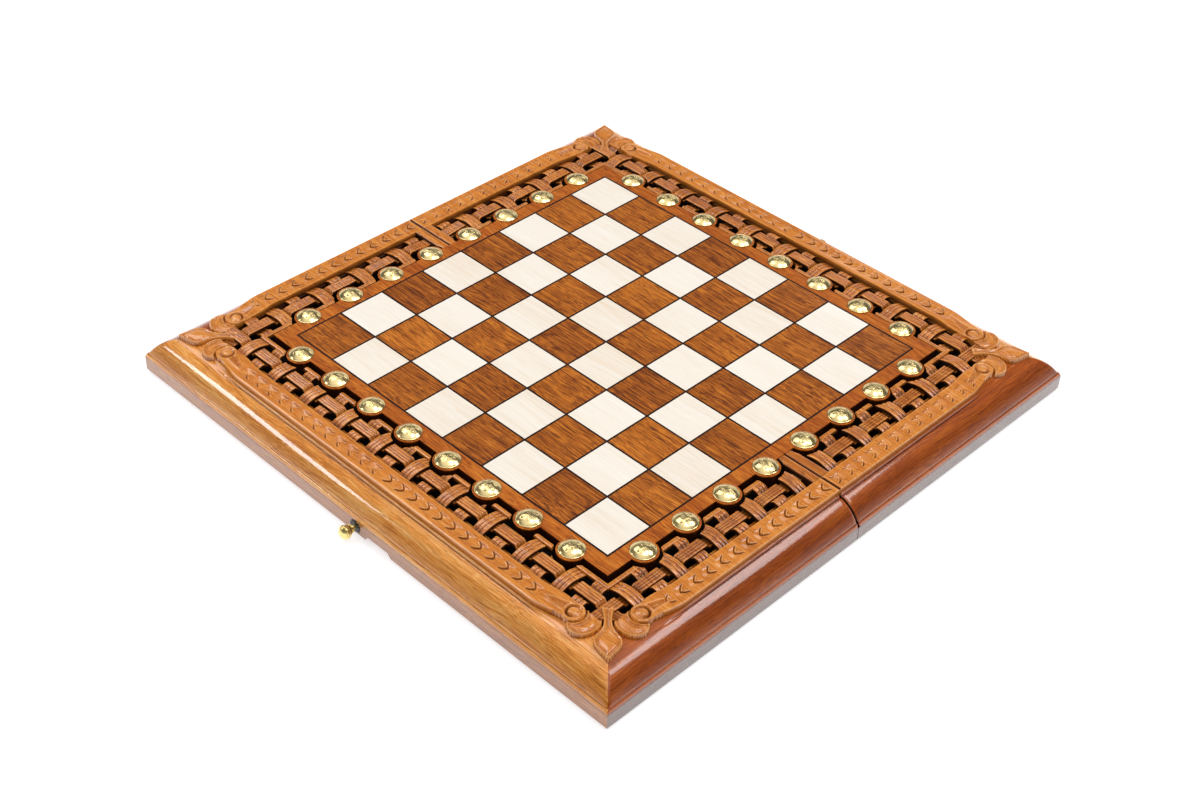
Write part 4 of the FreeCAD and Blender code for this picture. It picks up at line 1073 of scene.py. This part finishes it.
def build_half(half):
    """All carved and turned pieces of a half. The weave's lead is reversed in the far one."""
    lead, seed = (-1, 11) if half == "far" else (1, 7)
    bands, corners, weave, cross, studs = (Shell(half) for _ in range(5))
    for side in SIDES:
        moulding(half, side)
        band(bands, side)
        long_strip(weave, side, lead)
        edge_rail(weave, side)
    for number, (place, level) in enumerate(end_places(lead)):
        cross_strip(cross, place, level, "end", number)
    for side, sign in (("left", -1), ("right", 1)):
        corner(corners, sign)
        for number, (place, level) in enumerate(side_places(lead, sign)):
            cross_strip(cross, place, level, side, number)
        fold_border(cross, side)
    for side in SIDES:
        inner_line(cross, side)
    rng = np.random.default_rng(seed)
    spots = [(sign * line, -PLATE) for line in STUD_LINES for sign in (-1, 1)]
    spots += [(sign * PLATE, -line) for line in STUD_LINES for sign in (-1, 1)]
    for x, y in spots:
        stud(studs, x, y, rng.uniform(0, math.pi), rng.uniform(0.75, 1.1))
    for shell, name, material, node, angle in (
            (bands, "laurel_carving", carved_wood, "laurel_bands", 50),
            (corners, "corner_ornaments", carved_wood, "corner_carvings", 55),
            (weave, "reeded_long_strips", strip_wood, "lattice_long_strips", 45),
            (cross, "reeded_cross_strips", strip_wood, "lattice_cross_strips", 45)):
        shell.build(half + "_" + name, "carved_wood", material, half + "_" + node, angle)
    studs.build(half + "_embossed_studs", "stud_brass", stud_brass, half + "_studs", 60)


for half in ("near", "far"):
    build_half(half)
for half, prefix in (("near", "catch"), ("far", "hook")):
    turned_knob(half, prefix)
    rosette(half, prefix)


# Camera, light and floor

CAMERA_TURN = (43.569, 39.078, 2.1025)  # azimuth, elevation and roll in degrees
CAMERA_OFFSET = (-0.11261, -1.07255, 33.7694)  # squares right, up and back of the middle
CAMERA_LENS = 55.056


def aim_camera():
    """The camera that looks at the board as in the photograph."""
    azimuth, elevation, roll = (math.radians(angle) for angle in CAMERA_TURN)
    back = Vector((math.sin(azimuth) * math.cos(elevation),
                   -math.cos(azimuth) * math.cos(elevation), math.sin(elevation)))
    right = Vector((math.cos(azimuth), math.sin(azimuth), 0.0))
    up = back.cross(right)
    right, up = (math.cos(roll) * right + math.sin(roll) * up,
                 math.cos(roll) * up - math.sin(roll) * right)
    offset = CAMERA_OFFSET[0] * right + CAMERA_OFFSET[1] * up + CAMERA_OFFSET[2] * back
    spot = Vector((0.0, 0.0, PLATE_TOP * MM)) + SQUARE * MM * offset
    data = bpy.data.cameras.new("photo_camera")
    data.lens = CAMERA_LENS
    data.sensor_width = 36.0
    data.clip_start = 0.05
    data.clip_end = 60.0
    camera = bpy.data.objects.new("photo_camera", data)
    turn = Matrix((right, up, back)).transposed()
    camera.matrix_world = Matrix.Translation(spot) @ turn.to_4x4()
    bpy.context.scene.collection.objects.link(camera)
    bpy.context.scene.camera = camera


def softbox(name, spot, target, width, height, radiance):
    """A lamp at a spot that faces a target, both in metres, seen as that bright."""
    data = bpy.data.lights.new(name, "AREA")
    data.shape = "RECTANGLE"
    data.size = width
    data.size_y = height
    data.energy = math.pi * width * height * radiance
    lamp = bpy.data.objects.new(name, data)
    lamp.location = spot
    way = Vector(spot) - Vector(target)
    lamp.rotation_euler = way.to_track_quat("Z", "Y").to_euler()
    bpy.context.scene.collection.objects.link(lamp)


def light_world():
    """White to the camera, a dim room in reflections, and soft light from above."""
    world = bpy.data.worlds.new("studio_world")
    bpy.context.scene.world = world
    world.use_nodes = True
    tree = world.node_tree
    tree.nodes.clear()
    way = add(tree, "TexCoord").outputs["Generated"]
    rise = add(tree, "SeparateXYZ", {0: way}).outputs["Z"]
    level = ramp(tree, rise, [(0.0, (0.9, 0.9, 0.92)), (0.18, (0.45, 0.45, 0.47)),
                              (0.42, (0.04, 0.04, 0.045)), (0.72, (0.05, 0.05, 0.055)),
                              (0.86, (0.5, 0.5, 0.51)), (1.0, (0.8, 0.8, 0.82))])
    room = add(tree, "Background", {"Color": level, "Strength": 1.3})
    fill = ramp(tree, rise, [(0.0, (0.2, 0.2, 0.21)), (0.5, (0.52, 0.52, 0.53)),
                             (1.0, (1.0, 1.0, 1.0))])
    soft = add(tree, "Background", {"Color": fill, "Strength": 1.0})
    white = add(tree, "Background", {"Color": (1, 1, 1, 1), "Strength": 1.0})
    path = add(tree, "LightPath")
    shine = add(tree, "MixShader", {
        0: path.outputs["Is Glossy Ray"], 1: soft.outputs[0], 2: room.outputs[0]})
    mixed = add(tree, "MixShader", {
        0: path.outputs["Is Camera Ray"], 1: shine.outputs[0], 2: white.outputs[0]})
    add(tree, "OutputWorld", {"Surface": mixed.outputs[0]})


def lay_floor():
    """A pale floor that is white in reflections and nearly white to the camera."""
    material, tree = new_material("pale_floor")
    diffuse = add(tree, "BsdfDiffuse", {"Color": (0.6, 0.6, 0.61, 1)})
    path = add(tree, "LightPath")
    level = mul_add(tree, path.outputs["Is Camera Ray"], 0.62, path.outputs["Is Glossy Ray"])
    glow = add(tree, "Emission", {"Color": (1, 1, 1, 1), "Strength": level})
    lit = add(tree, "AddShader", {0: diffuse.outputs[0], 1: glow.outputs[0]})
    add(tree, "OutputMaterial", {"Surface": lit.outputs[0]})
    mesh = bpy.data.meshes.new("floor")
    corners = [(-4.0, -4.0, 0.0), (4.0, -4.0, 0.0), (4.0, 4.0, 0.0), (-4.0, 4.0, 0.0)]
    mesh.from_pydata(corners, [], [(0, 1, 2, 3)])
    mesh.materials.append(material)
    floor = bpy.data.objects.new("floor", mesh)
    bpy.context.scene.collection.objects.link(floor)


aim_camera()
light_world()
softbox("back_softbox", (0.62, 0.84, 1.39), (0.23, -0.1, 0.03), 0.55, 0.5, 5.5)
softbox("top_softbox", (0.30, 0.16, 1.55), (0.0, 0.0, 0.03), 0.5, 0.5, 5.0)
softbox("left_softbox", (-0.98, 0.0, 1.35), (-0.1, -0.2, 0.03), 0.6, 0.8, 2.6)
softbox("left_strip", (-1.15, -1.07, 0.94), (-0.13, -0.24, 0.03), 0.44, 0.22, 13.0)
softbox("front_softbox", (0.85, -0.80, 0.95), (0.2, -0.2, 0.03), 0.2, 0.16, 6.0)
softbox("low_back_softbox", (-0.56, 1.48, 0.85), (0.0, 0.0, 0.03), 0.5, 0.3, 1.5)
lay_floor()
bpy.context.scene.view_settings.view_transform = "Standard"
